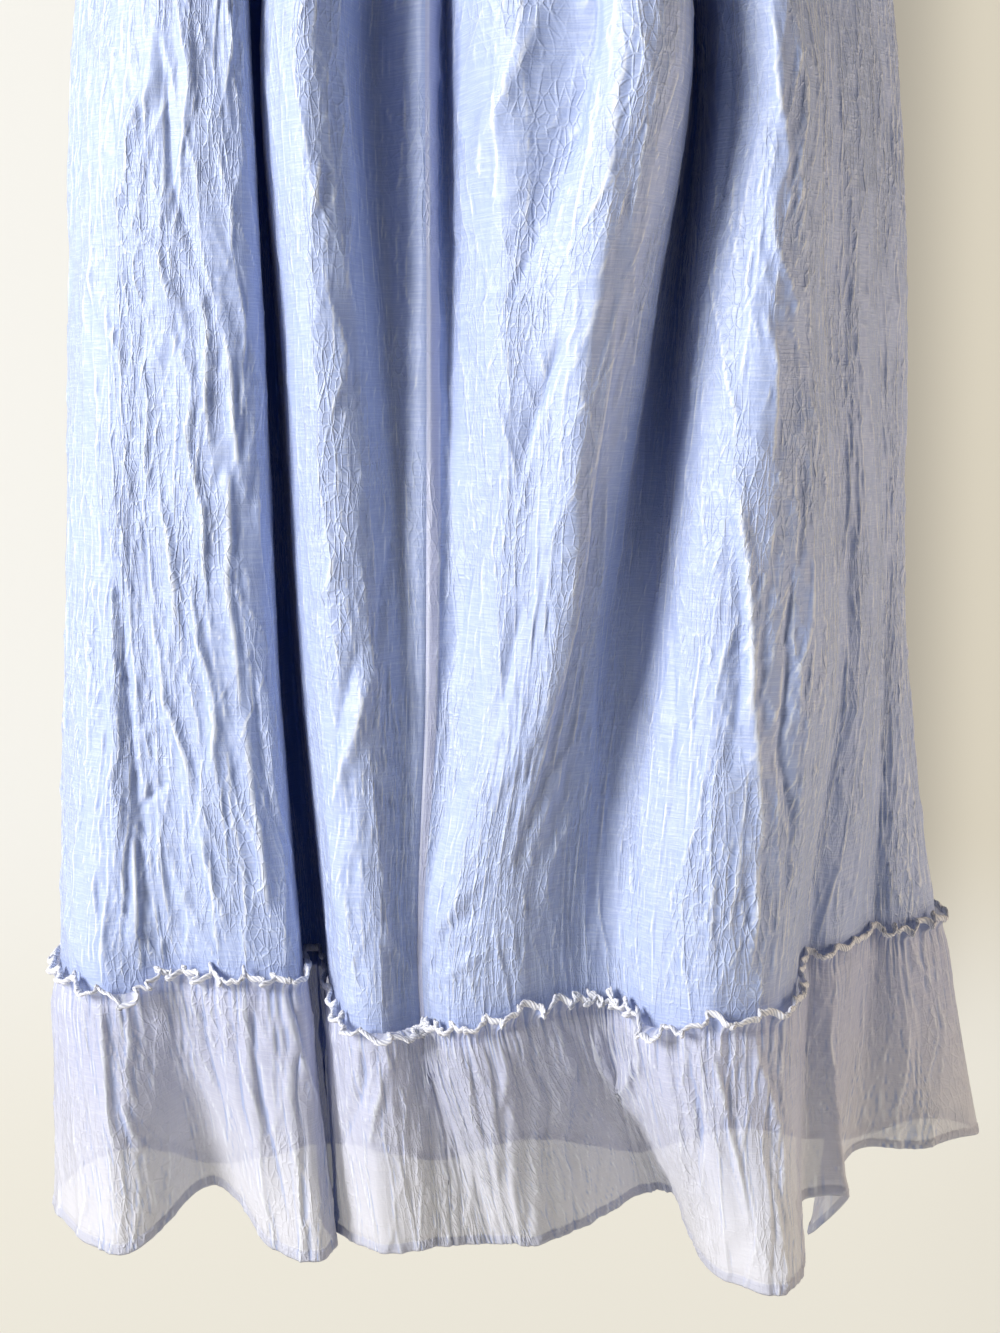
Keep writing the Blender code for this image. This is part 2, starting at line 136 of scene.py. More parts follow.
# Creases that stand out on the front, given one by one, in millimetres: how wide each is to its
# left and right, how far it rises (a furrow's rise is minus), and where it runs, as points
# (across, height). One that is narrow on a side has a sharp edge there.
PANEL_CREASES = (
    # the left panel, upper part
    (3.0, 3.0, -2.6, ((-178, -250), (-174, -300), (-173, -330), (-164, -362), (-159, -394))),
    (5.0, 4.0, 3.0, ((-178, -262), (-185, -282), (-194, -296), (-200, -319), (-200, -340))),
    (3.0, 3.0, -2.0, ((-211, -262), (-205, -309), (-200, -336), (-198, -356))),
    (4.0, 3.0, 2.4, ((-223, -372), (-218, -388), (-210, -416), (-206, -436))),
    (4.0, 4.0, 2.2, ((-219, -330), (-223, -362), (-227, -410), (-226, -462))),
    (3.0, 2.5, 2.4, ((-165, -236), (-162, -279), (-164, -302))),
    (2.5, 2.0, 1.7, ((-141, -232), (-140, -258), (-142, -279), (-140, -302))),
    (5.0, 4.0, 2.6, ((-200, -345), (-184, -368), (-177, -400), (-186, -432))),
    (3.0, 2.5, 3.0, ((-163, -370), (-160, -386), (-156, -405), (-157, -448), (-155, -480))),
    (3.0, 2.5, 3.0, ((-149, -401), (-144, -424), (-142, -452), (-140, -484))),
    (3.0, 2.5, 2.7, ((-176, -410), (-166, -435), (-167, -468), (-166, -496))),
    (3.0, 2.5, 2.4, ((-196, -420), (-191, -450), (-193, -486), (-188, -512))),
    # the left panel, lower part
    (3.5, 2.8, 3.2, ((-187, -498), (-179, -529), (-177, -559), (-179, -592))),
    (3.0, 2.5, 3.0, ((-166, -480), (-160, -511), (-161, -552))),
    (3.0, 2.5, 3.0, ((-146, -487), (-145, -520), (-147, -549), (-143, -588), (-141, -624))),
    (3.0, 2.5, 3.2, ((-168, -556), (-163, -588), (-156, -621), (-156, -651), (-153, -688))),
    (3.0, 2.5, 2.8, ((-187, -612), (-178, -633), (-172, -660), (-171, -688))),
    (3.0, 2.5, 2.6, ((-194, -559), (-186, -598), (-184, -634))),
    (4.0, 3.0, 2.8, ((-139, -626), (-137, -651), (-135, -678), (-129, -711), (-127, -742))),
    (3.0, 2.5, 2.6, ((-167, -678), (-164, -705), (-151, -756))),
    (3.0, 2.5, 2.8, ((-191, -684), (-190, -723), (-185, -758))),
    (3.5, 3.0, 2.4, ((-218, -658), (-216, -696), (-217, -728))),
    (3.0, 2.5, 2.6, ((-207, -700), (-205, -730), (-208, -768))),
    (4.0, 4.0, -2.8, ((-232, -557), (-226, -581), (-225, -609), (-222, -633), (-221, -664))),
    (4.0, 3.5, -3.2, ((-228, -474), (-219, -533), (-211, -563), (-208, -598), (-206, -633),
        (-203, -678), (-200, -718))),
    (3.0, 2.5, -2.4, ((-134, -602), (-131, -637), (-125, -678), (-118, -708))),
    (2.0, 2.0, 1.5, ((-205, -643), (-193, -636), (-181, -631))),
    (2.0, 2.0, -1.7, ((-204, -685), (-190, -671), (-180, -665))),
    # the middle fold
    (3.0, 2.0, 2.6, ((-91, -320), (-93, -350))),
    (14.0, 3.0, 3.2, ((-81, -234), (-77, -304), (-74, -334), (-78, -375), (-79, -408))),
    (4.0, 3.0, 2.4, ((-82, -400), (-79, -430), (-86, -458))),
    (3.0, 3.0, 2.2, ((-84, -532), (-88, -548), (-92, -560))),
    (6.0, 5.0, 4.2, ((-64, -596), (-72, -624), (-80, -652), (-92, -688))),
    (5.0, 5.0, -2.8, ((-70, -580), (-80, -616), (-86, -650), (-94, -674))),
    (5.0, 6.0, 2.8, ((-92, -682), (-88, -697), (-82, -732), (-74, -768))),
    # the hollow, with puckers and a fan of creases at the front seam
    (3.0, 3.0, -1.6, ((-53, -518), (-60, -561), (-62, -588))),
    (2.5, 2.5, 1.5, ((-58, -700), (-46, -704), (-37, -700))),
    (2.5, 2.5, 1.4, ((-54, -742), (-45, -748), (-37, -745))),
    (2.5, 2.5, 1.6, ((-32, -716), (-20, -728), (-10, -734))),
    (3.5, 2.5, 2.4, ((-34, -772), (-24, -748), (-12, -727), (0, -712))),
    (3.0, 2.5, 2.2, ((-32, -784), (-16, -768), (2, -757))),
    (2.5, 2.5, 2.0, ((-42, -780), (-52, -762), (-60, -740))),
    (3.0, 2.5, 2.0, ((-33, -742), (-26, -716), (-14, -690))),
    (2.5, 2.5, -1.8, ((-30, -758), (-16, -742), (-2, -735))),
    (2.0, 2.0, 1.3, ((-58, -640), (-48, -634), (-38, -640))),
    (2.0, 2.0, -1.3, ((-64, -668), (-52, -676), (-40, -673))),
    (2.0, 2.0, 1.3, ((-20, -652), (-8, -664), (2, -668))),
    # the big fold
    (8.0, 5.0, 3.6, ((30, -240), (18, -270), (4, -299), (-6, -328), (-13, -358))),
    (24.0, 9.0, -11.0, ((56, -180), (56, -240), (52, -286), (43, -316), (33, -345), (22, -372),
        (12, -396))),
    (3.0, 3.0, 1.8, ((56, -270), (54, -300), (59, -330))),
    (13.0, 5.0, 4.2, ((74, -236), (67, -303), (65, -350), (61, -382), (54, -424), (48, -480),
        (46, -530), (42, -570), (30, -621), (20, -645), (7, -664), (-1, -706))),
    (16.0, 2.2, 4.6, ((71, -392), (61, -464), (58, -481), (50, -546), (39, -604), (25, -664),
        (10, -716))),
    (5.0, 4.0, -3.2, ((8, -480), (-2, -518), (-12, -556), (-19, -610))),
    (4.0, 2.5, -3.2, ((41, -416), (33, -441), (25, -465), (21, -488))),
    (4.0, 3.0, -2.6, ((20, -560), (12, -600), (6, -634))),
    (7.0, 5.0, 3.0, ((-8, -690), (-16, -722), (-26, -756))),
    (3.0, 3.0, 1.8, ((46, -640), (36, -668), (24, -704))),
    (3.0, 3.0, 1.8, ((50, -676), (38, -702), (30, -738))),
    (12.0, 2.5, 3.0, ((71, -508), (65, -537), (62, -556), (59, -597), (58, -648), (56, -687),
        (55, -715), (58, -744))),
    # the right swell and the flank
    (1.8, 1.8, -1.4, ((104, -560), (106, -617), (107, -684))),
    (2.2, 2.0, -1.6, ((84, -690), (85, -720), (82, -748))),
    (4.0, 3.0, 3.6, ((137, -480), (145, -559), (148, -620), (155, -690))),
    (6.0, 4.0, -3.4, ((134, -506), (141, -577), (136, -660))),
    (3.5, 3.5, -3.2, ((172, -470), (177, -514), (169, -566), (168, -601), (164, -639), (173, -689),
        (171, -719), (177, -748))),
    (8.0, 3.0, 4.0, ((181, -226), (183, -291), (185, -363), (192, -408), (194, -483), (197, -515),
        (204, -591), (205, -668))),
    (2.5, 2.0, 2.2, ((153, -228), (156, -254), (158, -284), (163, -312), (164, -340))),
    (2.5, 2.0, 2.4, ((166, -232), (168, -255), (174, -284), (170, -322), (173, -356), (175, -376))),
    (2.5, 2.0, 2.6, ((155, -342), (159, -370), (167, -387), (170, -416))),
    (3.0, 2.5, 3.0, ((152, -400), (158, -429), (160, -462))),
    (3.0, 2.5, 2.6, ((176, -422), (181, -454), (188, -484))),
    (3.0, 2.5, 2.2, ((149, -705), (152, -730), (148, -766))),
    (2.0, 2.0, -1.8, ((134, -230), (135, -290), (131, -345))),
)
FLOUNCE_CREASES = (
    # under the left panel
    (3.0, 2.5, 2.8, ((-228, -793), (-225, -835), (-224, -863), (-218, -894))),
    (2.5, 2.0, 2.4, ((-219, -797), (-211, -822), (-213, -840), (-208, -862))),
    (2.0, 2.0, 2.0, ((-216, -860), (-206, -890))),
    (2.5, 2.5, -2.4, ((-168, -790), (-167, -827), (-160, -863), (-157, -892))),
    (2.5, 2.5, -2.6, ((-146, -787), (-147, -835), (-145, -863), (-138, -890))),
    (3.0, 2.5, -2.8, ((-135, -787), (-136, -824), (-131, -863), (-125, -896), (-118, -930))),
    (2.5, 2.0, 2.8, ((-119, -790), (-113, -815), (-104, -849), (-97, -874))),
    # under the middle fold and the big fold
    (3.0, 3.0, -2.6, ((-73, -808), (-71, -834), (-78, -862), (-88, -890))),
    (2.5, 2.5, 2.0, ((-57, -820), (-63, -848), (-69, -880))),
    (3.0, 2.5, 2.4, ((-36, -816), (-33, -834), (-37, -858))),
    (3.0, 2.5, 2.4, ((7, -810), (11, -832), (7, -856))),
    (10.0, 2.5, 3.4, ((42, -806), (50, -829), (47, -848), (45, -884))),
    # the puckers beside the big fold
    (3.0, 3.0, 3.2, ((63, -813), (66, -831), (79, -856), (84, -872))),
    (3.0, 2.5, 2.8, ((86, -825), (83, -844), (80, -858))),
    (2.5, 2.5, -2.2, ((72, -809), (75, -832), (77, -852))),
    # under the right swell
    (3.0, 3.0, -2.8, ((113, -819), (121, -853), (120, -887), (127, -922))),
    (2.5, 2.0, 2.6, ((128, -813), (136, -851), (143, -879), (149, -909))),
    (3.0, 2.5, 2.8, ((151, -809), (158, -832), (166, -859), (169, -897))),
    (2.5, 2.0, 2.2, ((161, -884), (167, -920), (172, -950))),
)


def smooth(t):
    t = np.clip(t, 0.0, 1.0)
    return t * t * (3.0 - 2.0 * t)


def hermite(t, a, b, slope_a, slope_b):
    """A smooth step from a to b, leaving and arriving at these slopes."""
    return ((2 * t**3 - 3 * t**2 + 1) * a + (t**3 - 2 * t**2 + t) * slope_a
            + (3 * t**2 - 2 * t**3) * b + (t**3 - t**2) * slope_b)


def three_heights_to_five(depths):
    """Depths at the swell, seam and hem, filled in at the two heights between."""
    swell, seam, hem = depths
    upper = swell + (seam - swell) * UPPER_DONE
    lower = swell + (seam - swell) * LOWER_DONE
    return [swell, upper, lower, seam, hem]


def front_folds():
    """Each front fold: across and depth at five heights, then its four single values."""
    return [(list(row[1:6]), three_heights_to_five(row[6:9]), *row[9:]) for row in FOLDS]


def back_folds(right_edge, left_edge):
    """The back's even folds, right to left, between the two side edges."""
    made = []
    turns = 2 * BACK_FOLDS + 1
    inset = three_heights_to_five(BACK_INSET)
    start = [edge - gap for edge, gap in zip(right_edge, inset)]
    end = [edge + gap for edge, gap in zip(left_edge, inset)]
    for turn in range(turns):
        share = turn / (turns - 1)
        swing = (-1 if turn % 2 else 1) * (0.75 + 0.25 * math.cos(2.4 * turn))
        across = [a + (b - a) * share for a, b in zip(start, end)]
        depths = [right + (left - right) * share + reach * swing for right, left, reach
                  in zip(BACK_RIGHT_DEPTH, BACK_LEFT_DEPTH, BACK_SWING)]
        made.append((across, three_heights_to_five(depths), BACK_SEAM_DROP, BACK_HEM_DROP,
                     BACK_GATHER, BACK_CRINKLED))
    return made


def oval_points(shares):
    """Points of the waist's oval, by their share of the way round from the left side."""
    turn = np.linspace(0.0, 2.0 * math.pi, 721)
    x = -0.5 * WAIST_WIDTH * np.cos(turn)
    y = -0.5 * WAIST_DEPTH * np.sin(turn)
    run = np.concatenate(([0.0], np.cumsum(np.hypot(np.diff(x), np.diff(y)))))
    goal = np.array(shares) * run[-1]
    return np.interp(goal, run, x), np.interp(goal, run, y)


# what a point of the skirt's line holds
ACROSS, DEPTH, SEAM_DROP, HEM_DROP, GATHER, CRINKLED = range(6)


def between(a, b, at_a, at_b, at):
    """The point at a place on the straight line that passes a and b at theirs."""
    return a * (at_b - at) / (at_b - at_a) + b * (at - at_a) / (at_b - at_a)


class Skirt:
    """The skirt's line in plan at any height, as one closed curve through its folds.

    A place on the line is given in metres of cloth from the left side seam, front first.
    """

    def __init__(self):
        front = front_folds()
        folds = front + back_folds(front[-1][0], front[0][0])
        across = np.array([fold[0] for fold in folds]) * MM
        depth = np.array([fold[1] for fold in folds]) * MM
        singles = np.array([fold[2:] for fold in folds], float)
        singles[:, :2] *= MM
        self.singles = singles
        step = np.hypot(np.roll(across, -1, axis=0) - across, np.roll(depth, -1, axis=0) - depth)
        lengths = step.mean(axis=1)
        right = len(front) - 1
        waist_x, waist_y = oval_points(self.waist_shares(lengths, right))
        self.across = np.column_stack((waist_x, across))
        self.depth = np.column_stack((waist_y, depth))
        self.cloth = np.concatenate(([0.0], np.cumsum(lengths)))
        self.round = self.cloth[-1]
        self.seam_at = self.cloth[[row[0] for row in FOLDS].index("front seam")]
        self.right_at = self.cloth[right]

    @staticmethod
    def waist_shares(lengths, right):
        """Each fold's place round the waist: the front takes one half and the back the other."""
        counts = [max(2, round(length / POINT_SPACING)) for length in lengths]
        while sum(counts) % POINTS_A_GATHER:
            counts[-1] += 1
        columns = np.concatenate(([0], np.cumsum(counts)))
        front = 0.5 * columns[:-1] / columns[right]
        back = 0.5 + 0.5 * (columns[:-1] - columns[right]) / (columns[-1] - columns[right])
        return np.where(np.arange(len(counts)) <= right, front, back)

    def folds_at(self, heights):
        """Every fold's values at each height, as [height, fold, value]."""
        levels = np.array(LEVELS)
        span = np.clip(np.searchsorted(-levels, -heights) - 1, 0, len(levels) - 2)
        reach = levels[span + 1] - levels[span]
        t = ((heights - levels[span]) / reach)[:, None]
        placed = []
        for table in (self.across, self.depth):
            slopes = np.gradient(table, levels, axis=1)
            a, b = table[:, span].T, table[:, span + 1].T
            ma, mb = slopes[:, span].T * reach[:, None], slopes[:, span + 1].T * reach[:, None]
            placed.append(hermite(t, a, b, ma, mb))
        singles = np.broadcast_to(self.singles, (len(heights), *self.singles.shape))
        return np.concatenate((np.stack(placed, axis=2), singles), axis=2)

    def line(self, heights, cloth):
        """The points of the line at each height and place, as [height, place, value]."""
        heights = np.maximum(heights, HEM)
        folds = self.folds_at(np.minimum(heights, BAND_FOOT))
        count = folds.shape[1]
        places = np.interp(np.mod(cloth, self.round), self.cloth, np.arange(count + 1))
        fold = np.floor(places).astype(int) % count
        share = places - np.floor(places)
        p0, p1, p2, p3 = (folds[:, (fold + k) % count] for k in (-1, 0, 1, 2))
        knots = [np.zeros(p1.shape[:2])]
        for a, b in ((p0, p1), (p1, p2), (p2, p3)):
            apart = np.hypot(b[..., 0] - a[..., 0], b[..., 1] - a[..., 1])
            knots.append(knots[-1] + np.sqrt(np.maximum(apart, 1e-5)))
        t0, t1, t2, t3 = (knot[..., None] for knot in knots)
        t = t1 + (t2 - t1) * share[None, :, None]
        a1 = between(p0, p1, t0, t1, t)
        a2 = between(p1, p2, t1, t2, t)
        a3 = between(p2, p3, t2, t3, t)
        b1 = between(a1, a2, t0, t2, t)
        b2 = between(a2, a3, t1, t3, t)
        return between(b1, b2, t1, t2, t)


def outward(line):
    """Unit vectors in plan, square to each row of a line, pointing out of the skirt."""
    along = np.gradient(line[..., :2], axis=1)
    along /= np.linalg.norm(along, axis=2, keepdims=True)
    return np.stack((along[..., 1], -along[..., 0]), axis=2)


def normals_of(points):
    """Unit normals of a grid of points whose rows run down the skirt."""
    along = np.gradient(points, axis=1)
    down = np.gradient(points, axis=0)
    normal = np.cross(down, along)
    return normal / np.linalg.norm(normal, axis=2, keepdims=True)


def lattice(seed, i, j):
    """A number from 0 to 1 for each crossing of a lattice, always the same for one seed."""
    n = (i * 374761393 + j * 668265263 + seed * 974634777) & 0xFFFFFFFF
    n = ((n ^ (n >> 13)) * 1274126177) & 0xFFFFFFFF
    return ((n ^ (n >> 16)) & 0xFFFFFF) / 0xFFFFFF


def noise(seed, x, y):
    """Smooth noise from -1 to 1, one bump to each unit."""
    i, j = np.floor(x).astype(np.int64), np.floor(y).astype(np.int64)
    fx, fy = smooth(x - i), smooth(y - j)
    low = lattice(seed, i, j) * (1 - fx) + lattice(seed, i + 1, j) * fx
    high = lattice(seed, i, j + 1) * (1 - fx) + lattice(seed, i + 1, j + 1) * fx
    return 2.0 * (low * (1 - fy) + high * fy) - 1.0


def past_edge(seed, x, y):
    """How far each point is inside its cell of scattered cells: 0 on the cell's edge."""
    i, j = np.floor(x).astype(np.int64), np.floor(y).astype(np.int64)
    nearest = np.full(x.shape, 9.0)
    second = nearest.copy()
    for across in (-1, 0, 1):
        for down in (-1, 0, 1):
            ci, cj = i + across, j + down
            away = np.hypot(ci + lattice(seed, ci, cj) - x, cj + lattice(seed + 1, ci, cj) - y)
            second = np.where(away < nearest, nearest, np.minimum(second, away))
            nearest = np.minimum(nearest, away)
    return second - nearest


# how tight a bend counts as wholly sharp
SHARP_BEND = 1.6 * MM


def crinkle(seed, cloth, fall, wide, tall, share):
    """Sharp crossing creases of gauze, 0 to 1: cells this wide and tall in metres of cloth."""
    drift = 0.35 * noise(seed + 7, cloth / (2.5 * wide), fall / (0.7 * tall))
    inside = past_edge(seed, cloth / wide + drift, fall / tall)
    return np.clip(1.0 - inside / share, 0.0, 1.0) ** 1.3


def meander(seed, cloth, fall, wide, tall):
    """Thin wandering crests, 0 to 1, where smooth noise passes through its middle."""
    high = noise(seed, cloth / wide, fall / tall)
    fine = noise(seed + 1, 2.3 * cloth / wide, 2.3 * fall / tall)
    return np.clip(1.0 - np.abs(high + 0.35 * fine) / 0.30, 0.0, 1.0) ** 1.3


# Layers of sharp creases in the gauze: seed, slant, the spacing of its creases across and
# down in millimetres, the share of a cell that its edge takes (none for wandering strands),
# their rise in millimetres, and how much they keep to patches.
PANEL_LAYERS = (
    (11,  0.00, 14, 130, 0.26, 1.10, 0.00),
    (23,  0.00,  8,  44, 0.28, 0.60, 0.75),
    (37, -0.05, 12,  60, None, 0.70, 0.00),
    (39,  0.12,  6,  22, None, 0.35, 1.00),
    (47,  0.30, 24,  90, 0.17, 0.90, 0.00),
    (51, -0.24, 19,  66, 0.16, 0.70, 0.00),
)
FLOUNCE_LAYERS = (
    (81,  0.00,  6,  24, 0.30, 0.40, 1.00),
    (83,  0.00, 15,  85, 0.20, 0.70, 0.00),
    (87,  0.30, 26,  70, 0.15, 0.50, 0.00),
    (89,  0.00, 11,  55, None, 0.50, 0.00),
)


def layered_creases(layers, swim, fall, patch):
    """How far all the layers lift each place of the cloth, in millimetres."""
    lift = 0.0
    for seed, slant, wide, tall, edge, rise, patchy in layers:
        place = (seed, swim - slant * fall, fall, wide * MM, tall * MM)
        sharp = crinkle(*place, edge) if edge else meander(*place)
        lift = lift + rise * (sharp * (1.0 - patchy + patchy * patch))
    return lift


def gauze_relief(cloth, fall, amount, lean):
    """How far crinkled gauze stands off its smooth form, in metres. amount is 0 to 1."""
    swim = (cloth - lean * fall + 11 * MM * noise(3, cloth / 0.060, fall / 0.130)
            + 3 * MM * noise(4, cloth / 0.020, fall / 0.045))
    patch = smooth(0.5 + 0.9 * noise(5, cloth / 0.060, fall / 0.150))
    sharp = layered_creases(PANEL_LAYERS, swim, fall, patch)
    swell = noise(41, swim / 0.045, fall / 0.16)
    ripple = noise(43, swim / 0.019, fall / 0.075)
    return MM * amount * (sharp + 2.1 * swell + 0.8 * ripple)


def bend_of(relief, step):
    """How sharply the relief bends along each row: 1 on a sharp crest, -1 down in a crease."""
    bend = np.zeros(relief.shape)
    bend[:, 1:-1] = 2.0 * relief[:, 1:-1] - relief[:, :-2] - relief[:, 2:]
    return np.clip(bend * SHARP_BEND / step**2, -1.0, 1.0)


def eased(at, knots, values):
    """A smooth curve through values at rising knots, and its slope, read at some places."""
    slopes = np.gradient(values, knots)
    span = np.clip(np.searchsorted(knots, at) - 1, 0, len(knots) - 2)
    reach = knots[span + 1] - knots[span]
    t = (at - knots[span]) / reach
    a, b = values[span], values[span + 1]
    ma, mb = slopes[span] * reach, slopes[span + 1] * reach
    value = hermite(t, a, b, ma, mb)
    slope = (6 * t**2 - 6 * t) * (a - b) + (3 * t**2 - 4 * t + 1) * ma + (3 * t**2 - 2 * t) * mb
    return value, slope / reach


def crease_relief(across, height, creases):
    """How far the listed creases lift each point of the cloth, seen from the front."""
    lift = np.zeros(across.shape)
    for left, right, rise, path in creases:
        path = np.array(path) * MM
        upright = np.ptp(path[:, 1]) >= np.ptp(path[:, 0])
        run, side = (1, 0) if upright else (0, 1)
        path = path[np.argsort(path[:, run])]
        at, beside = (height, across) if upright else (across, height)
        share = (at - path[0, run]) / (path[-1, run] - path[0, run])
        near = (share > 0.0) & (share < 1.0)
        middle, slope = eased(at[near], path[:, run], path[:, side])
        aside = (beside[near] - middle) / np.sqrt(1.0 + slope**2)
        wide = np.where(aside < 0.0, left, right) * MM
        taper = np.sin(math.pi * share[near]) ** 0.5
        lift[near] += rise * MM * taper * np.exp(-np.abs(aside / wide) ** 1.6)
    return lift


# how far the back's creases lie from the front's, which they resemble
BACK_SHIFT = (17 * MM, -26 * MM)


def main_creases(points, normals, creases):
    """The creases listed for the front, and similar ones on the back."""
    across, height = points[..., 0], points[..., 2]
    front = crease_relief(across, height, creases)
    back = crease_relief(BACK_SHIFT[0] - across, height + BACK_SHIFT[1], creases)
    return front * smooth(-normals[..., 1] / 0.5) + back * smooth(normals[..., 1] / 0.5)


# how finely and how far off along the cloth the folds beside a place are looked at
SHELTER_STEP = 3 * MM
SHELTER_REACH = 45
FACING_REACH = 26


def shelter(skirt, heights, cloth):
    """How shut in each place is by the folds beside it, from 0 in the open to 1: where the shade
    deep in the folds is painted.
    """
    places = np.arange(0.0, skirt.round, SHELTER_STEP)
    plan = skirt.line(heights, places)[..., :2]
    square = outward(np.concatenate((plan[:, -1:], plan, plan[:, :1]), axis=1))[:, 1:-1]
    facing = sum(np.roll(square, lag, axis=1) for lag in range(-FACING_REACH, FACING_REACH + 1))
    facing /= np.linalg.norm(facing, axis=2, keepdims=True)
    along = np.stack((-facing[..., 1], facing[..., 0]), axis=2)
    shut = np.zeros(plan.shape[:2])
    for sense in (-1, 1):
        highest = np.zeros(plan.shape[:2])
        for lag in range(1, SHELTER_REACH + 1):
            reach = np.roll(plan, -sense * lag, axis=1) - plan
            forward = (reach * facing).sum(axis=2)
            aside = sense * (reach * along).sum(axis=2)
            highest = np.maximum(highest, np.arctan2(forward, aside))
        shut += highest / math.pi
    shut = np.clip(shut, 0.0, 1.0)
    return np.array([np.interp(cloth, places, row, period=skirt.round) for row in shut])


def beside_seams(cloth, seams, reach):
    """0 at a side or front seam, 1 a little way off it."""
    away = np.min([np.abs(cloth - seam) for seam in seams], axis=0)
    return smooth(away / reach)


def cloth_sheet(name, points, cloth, fall, shut=0.0, bend=0.0):
    """A sheet through a grid of points, its rows from the bottom up.

    Its UV map gives metres of cloth: round the skirt, and down it. Its attribute "shut" says
    how shut in each point is between folds, which sets the shade painted there, and "bend" how
    sharp a crest or crease it is on, which sets the highlight or shade painted there.
    """
    rows, columns = points.shape[:2]
    bpy.ops.object.select_all(action="DESELECT")
    bpy.ops.mesh.primitive_grid_add(x_subdivisions=columns - 1, y_subdivisions=rows - 1, size=1.0)
    piece = bpy.context.object
    piece.name = name
    mesh = piece.data
    mesh.name = name
    mesh.vertices.foreach_set("co", points.astype(np.float32).ravel())
    corners = np.empty(len(mesh.loops), np.int32)
    mesh.loops.foreach_get("vertex_index", corners)
    flat = np.stack((cloth, fall), axis=-1).reshape(-1, 2)
    mesh.uv_layers[0].data.foreach_set("uv", flat[corners].astype(np.float32).ravel())
    for kind, values in (("shut", shut), ("bend", bend)):
        values = np.broadcast_to(values, points.shape[:2]).astype(np.float32)
        mesh.attributes.new(kind, "FLOAT", "POINT").data.foreach_set("value", values.ravel())
    mesh.update()
    mesh.shade_smooth()
    return piece


# points nearer than this are made one
MERGED_WITHIN = 1e-6


def merge_doubles(piece):
    bpy.ops.object.select_all(action="DESELECT")
    piece.select_set(True)
    bpy.context.view_layer.objects.active = piece
    bpy.ops.object.mode_set(mode="EDIT")
    bpy.ops.mesh.select_all(action="SELECT")
    bpy.ops.mesh.remove_doubles(threshold=MERGED_WITHIN)
    bpy.ops.object.mode_set(mode="OBJECT")


# how much the widths of gathers differ
UNEVENNESS = 1.1


class Gathers:
    """Uneven gathers round the skirt: each wave has its own width, height and length down."""

    def __init__(self, seed, total, mean):
        self.total = total
        count = round(total / mean)
        widths = 1.0 + UNEVENNESS * (np.random.default_rng(seed).random(count) - 0.5)
        self.starts = np.concatenate(([0.0], np.cumsum(widths))) * total / widths.sum()
        draw = np.random.default_rng(seed + 100)
        self.heights = 0.45 + 0.55 * draw.random(count)
        self.skews = 2.0 * math.pi * draw.random(count)
        self.lengths = 0.35 + 1.0 * draw.random(count)

    def waves_to(self, cloth):
        """How many waves lie between the start and each place."""
        return np.interp(np.mod(cloth, self.total), self.starts, np.arange(len(self.starts)))

    def values(self, cloth, table):
        """One value of each wave, eased from wave to wave."""
        count = len(table)
        places = self.waves_to(cloth)
        low = np.floor(places).astype(int) % count
        share = smooth(places - np.floor(places))
        return table[low] * (1.0 - share) + table[(low + 1) % count] * share

    def phase(self, cloth):
        return 2.0 * math.pi * self.waves_to(cloth)

    def wave(self, cloth, fall, fade):
        """The gathers' height, -1 to 1. Each fades out its own way down, about fade metres."""
        phase = self.phase(cloth)
        lengths = fade * self.values(cloth, self.lengths)
        height = self.values(cloth, self.heights) * (1.0 - smooth(np.abs(fall) / lengths - 0.4))
        skew = self.values(cloth, self.skews)
        return height * (0.8 * np.sin(phase) + 0.28 * np.sin(2.0 * phase + skew))


# how finely each sheet is made
PANEL_STEP = (1.35 * MM, 2.9 * MM)
BACK_STEP = (1.7 * MM, 3.9 * MM)
FLOUNCE_STEP = 0.58 * MM
BACK_FLOUNCE_STEP = 0.82 * MM
BAND_STEP = 1.1 * MM

# the front seam's allowance, pressed to the right under the cloth
ALLOWANCE = 8 * MM
ALLOWANCE_RISE = 0.6 * MM

# how far the top of the panels is gathered under the waistband
WAIST_GATHER = 4.2 * MM
WAIST_GATHER_RISE = 0.030
WAIST_GATHER_FADE = 0.150

# how far from a seam a panel's and the flounce's cloth is free to crinkle, and a seam's groove
PANEL_FREE = 9 * MM
FLOUNCE_FREE = 5 * MM
GROOVE = 0.5 * MM
GROOVE_WIDE = 2.5 * MM

# how far the crinkles lean at the left side, halfway to the front seam, and from there on
CRINKLE_LEAN = (0.02, 0.07, 0.0)


def places_between(first, last, step):
    """Places on the cloth from one seam to the next, about a step apart."""
    return np.linspace(first + 0.5 * SEAM_GAP, last - 0.5 * SEAM_GAP, round((last - first) / step))


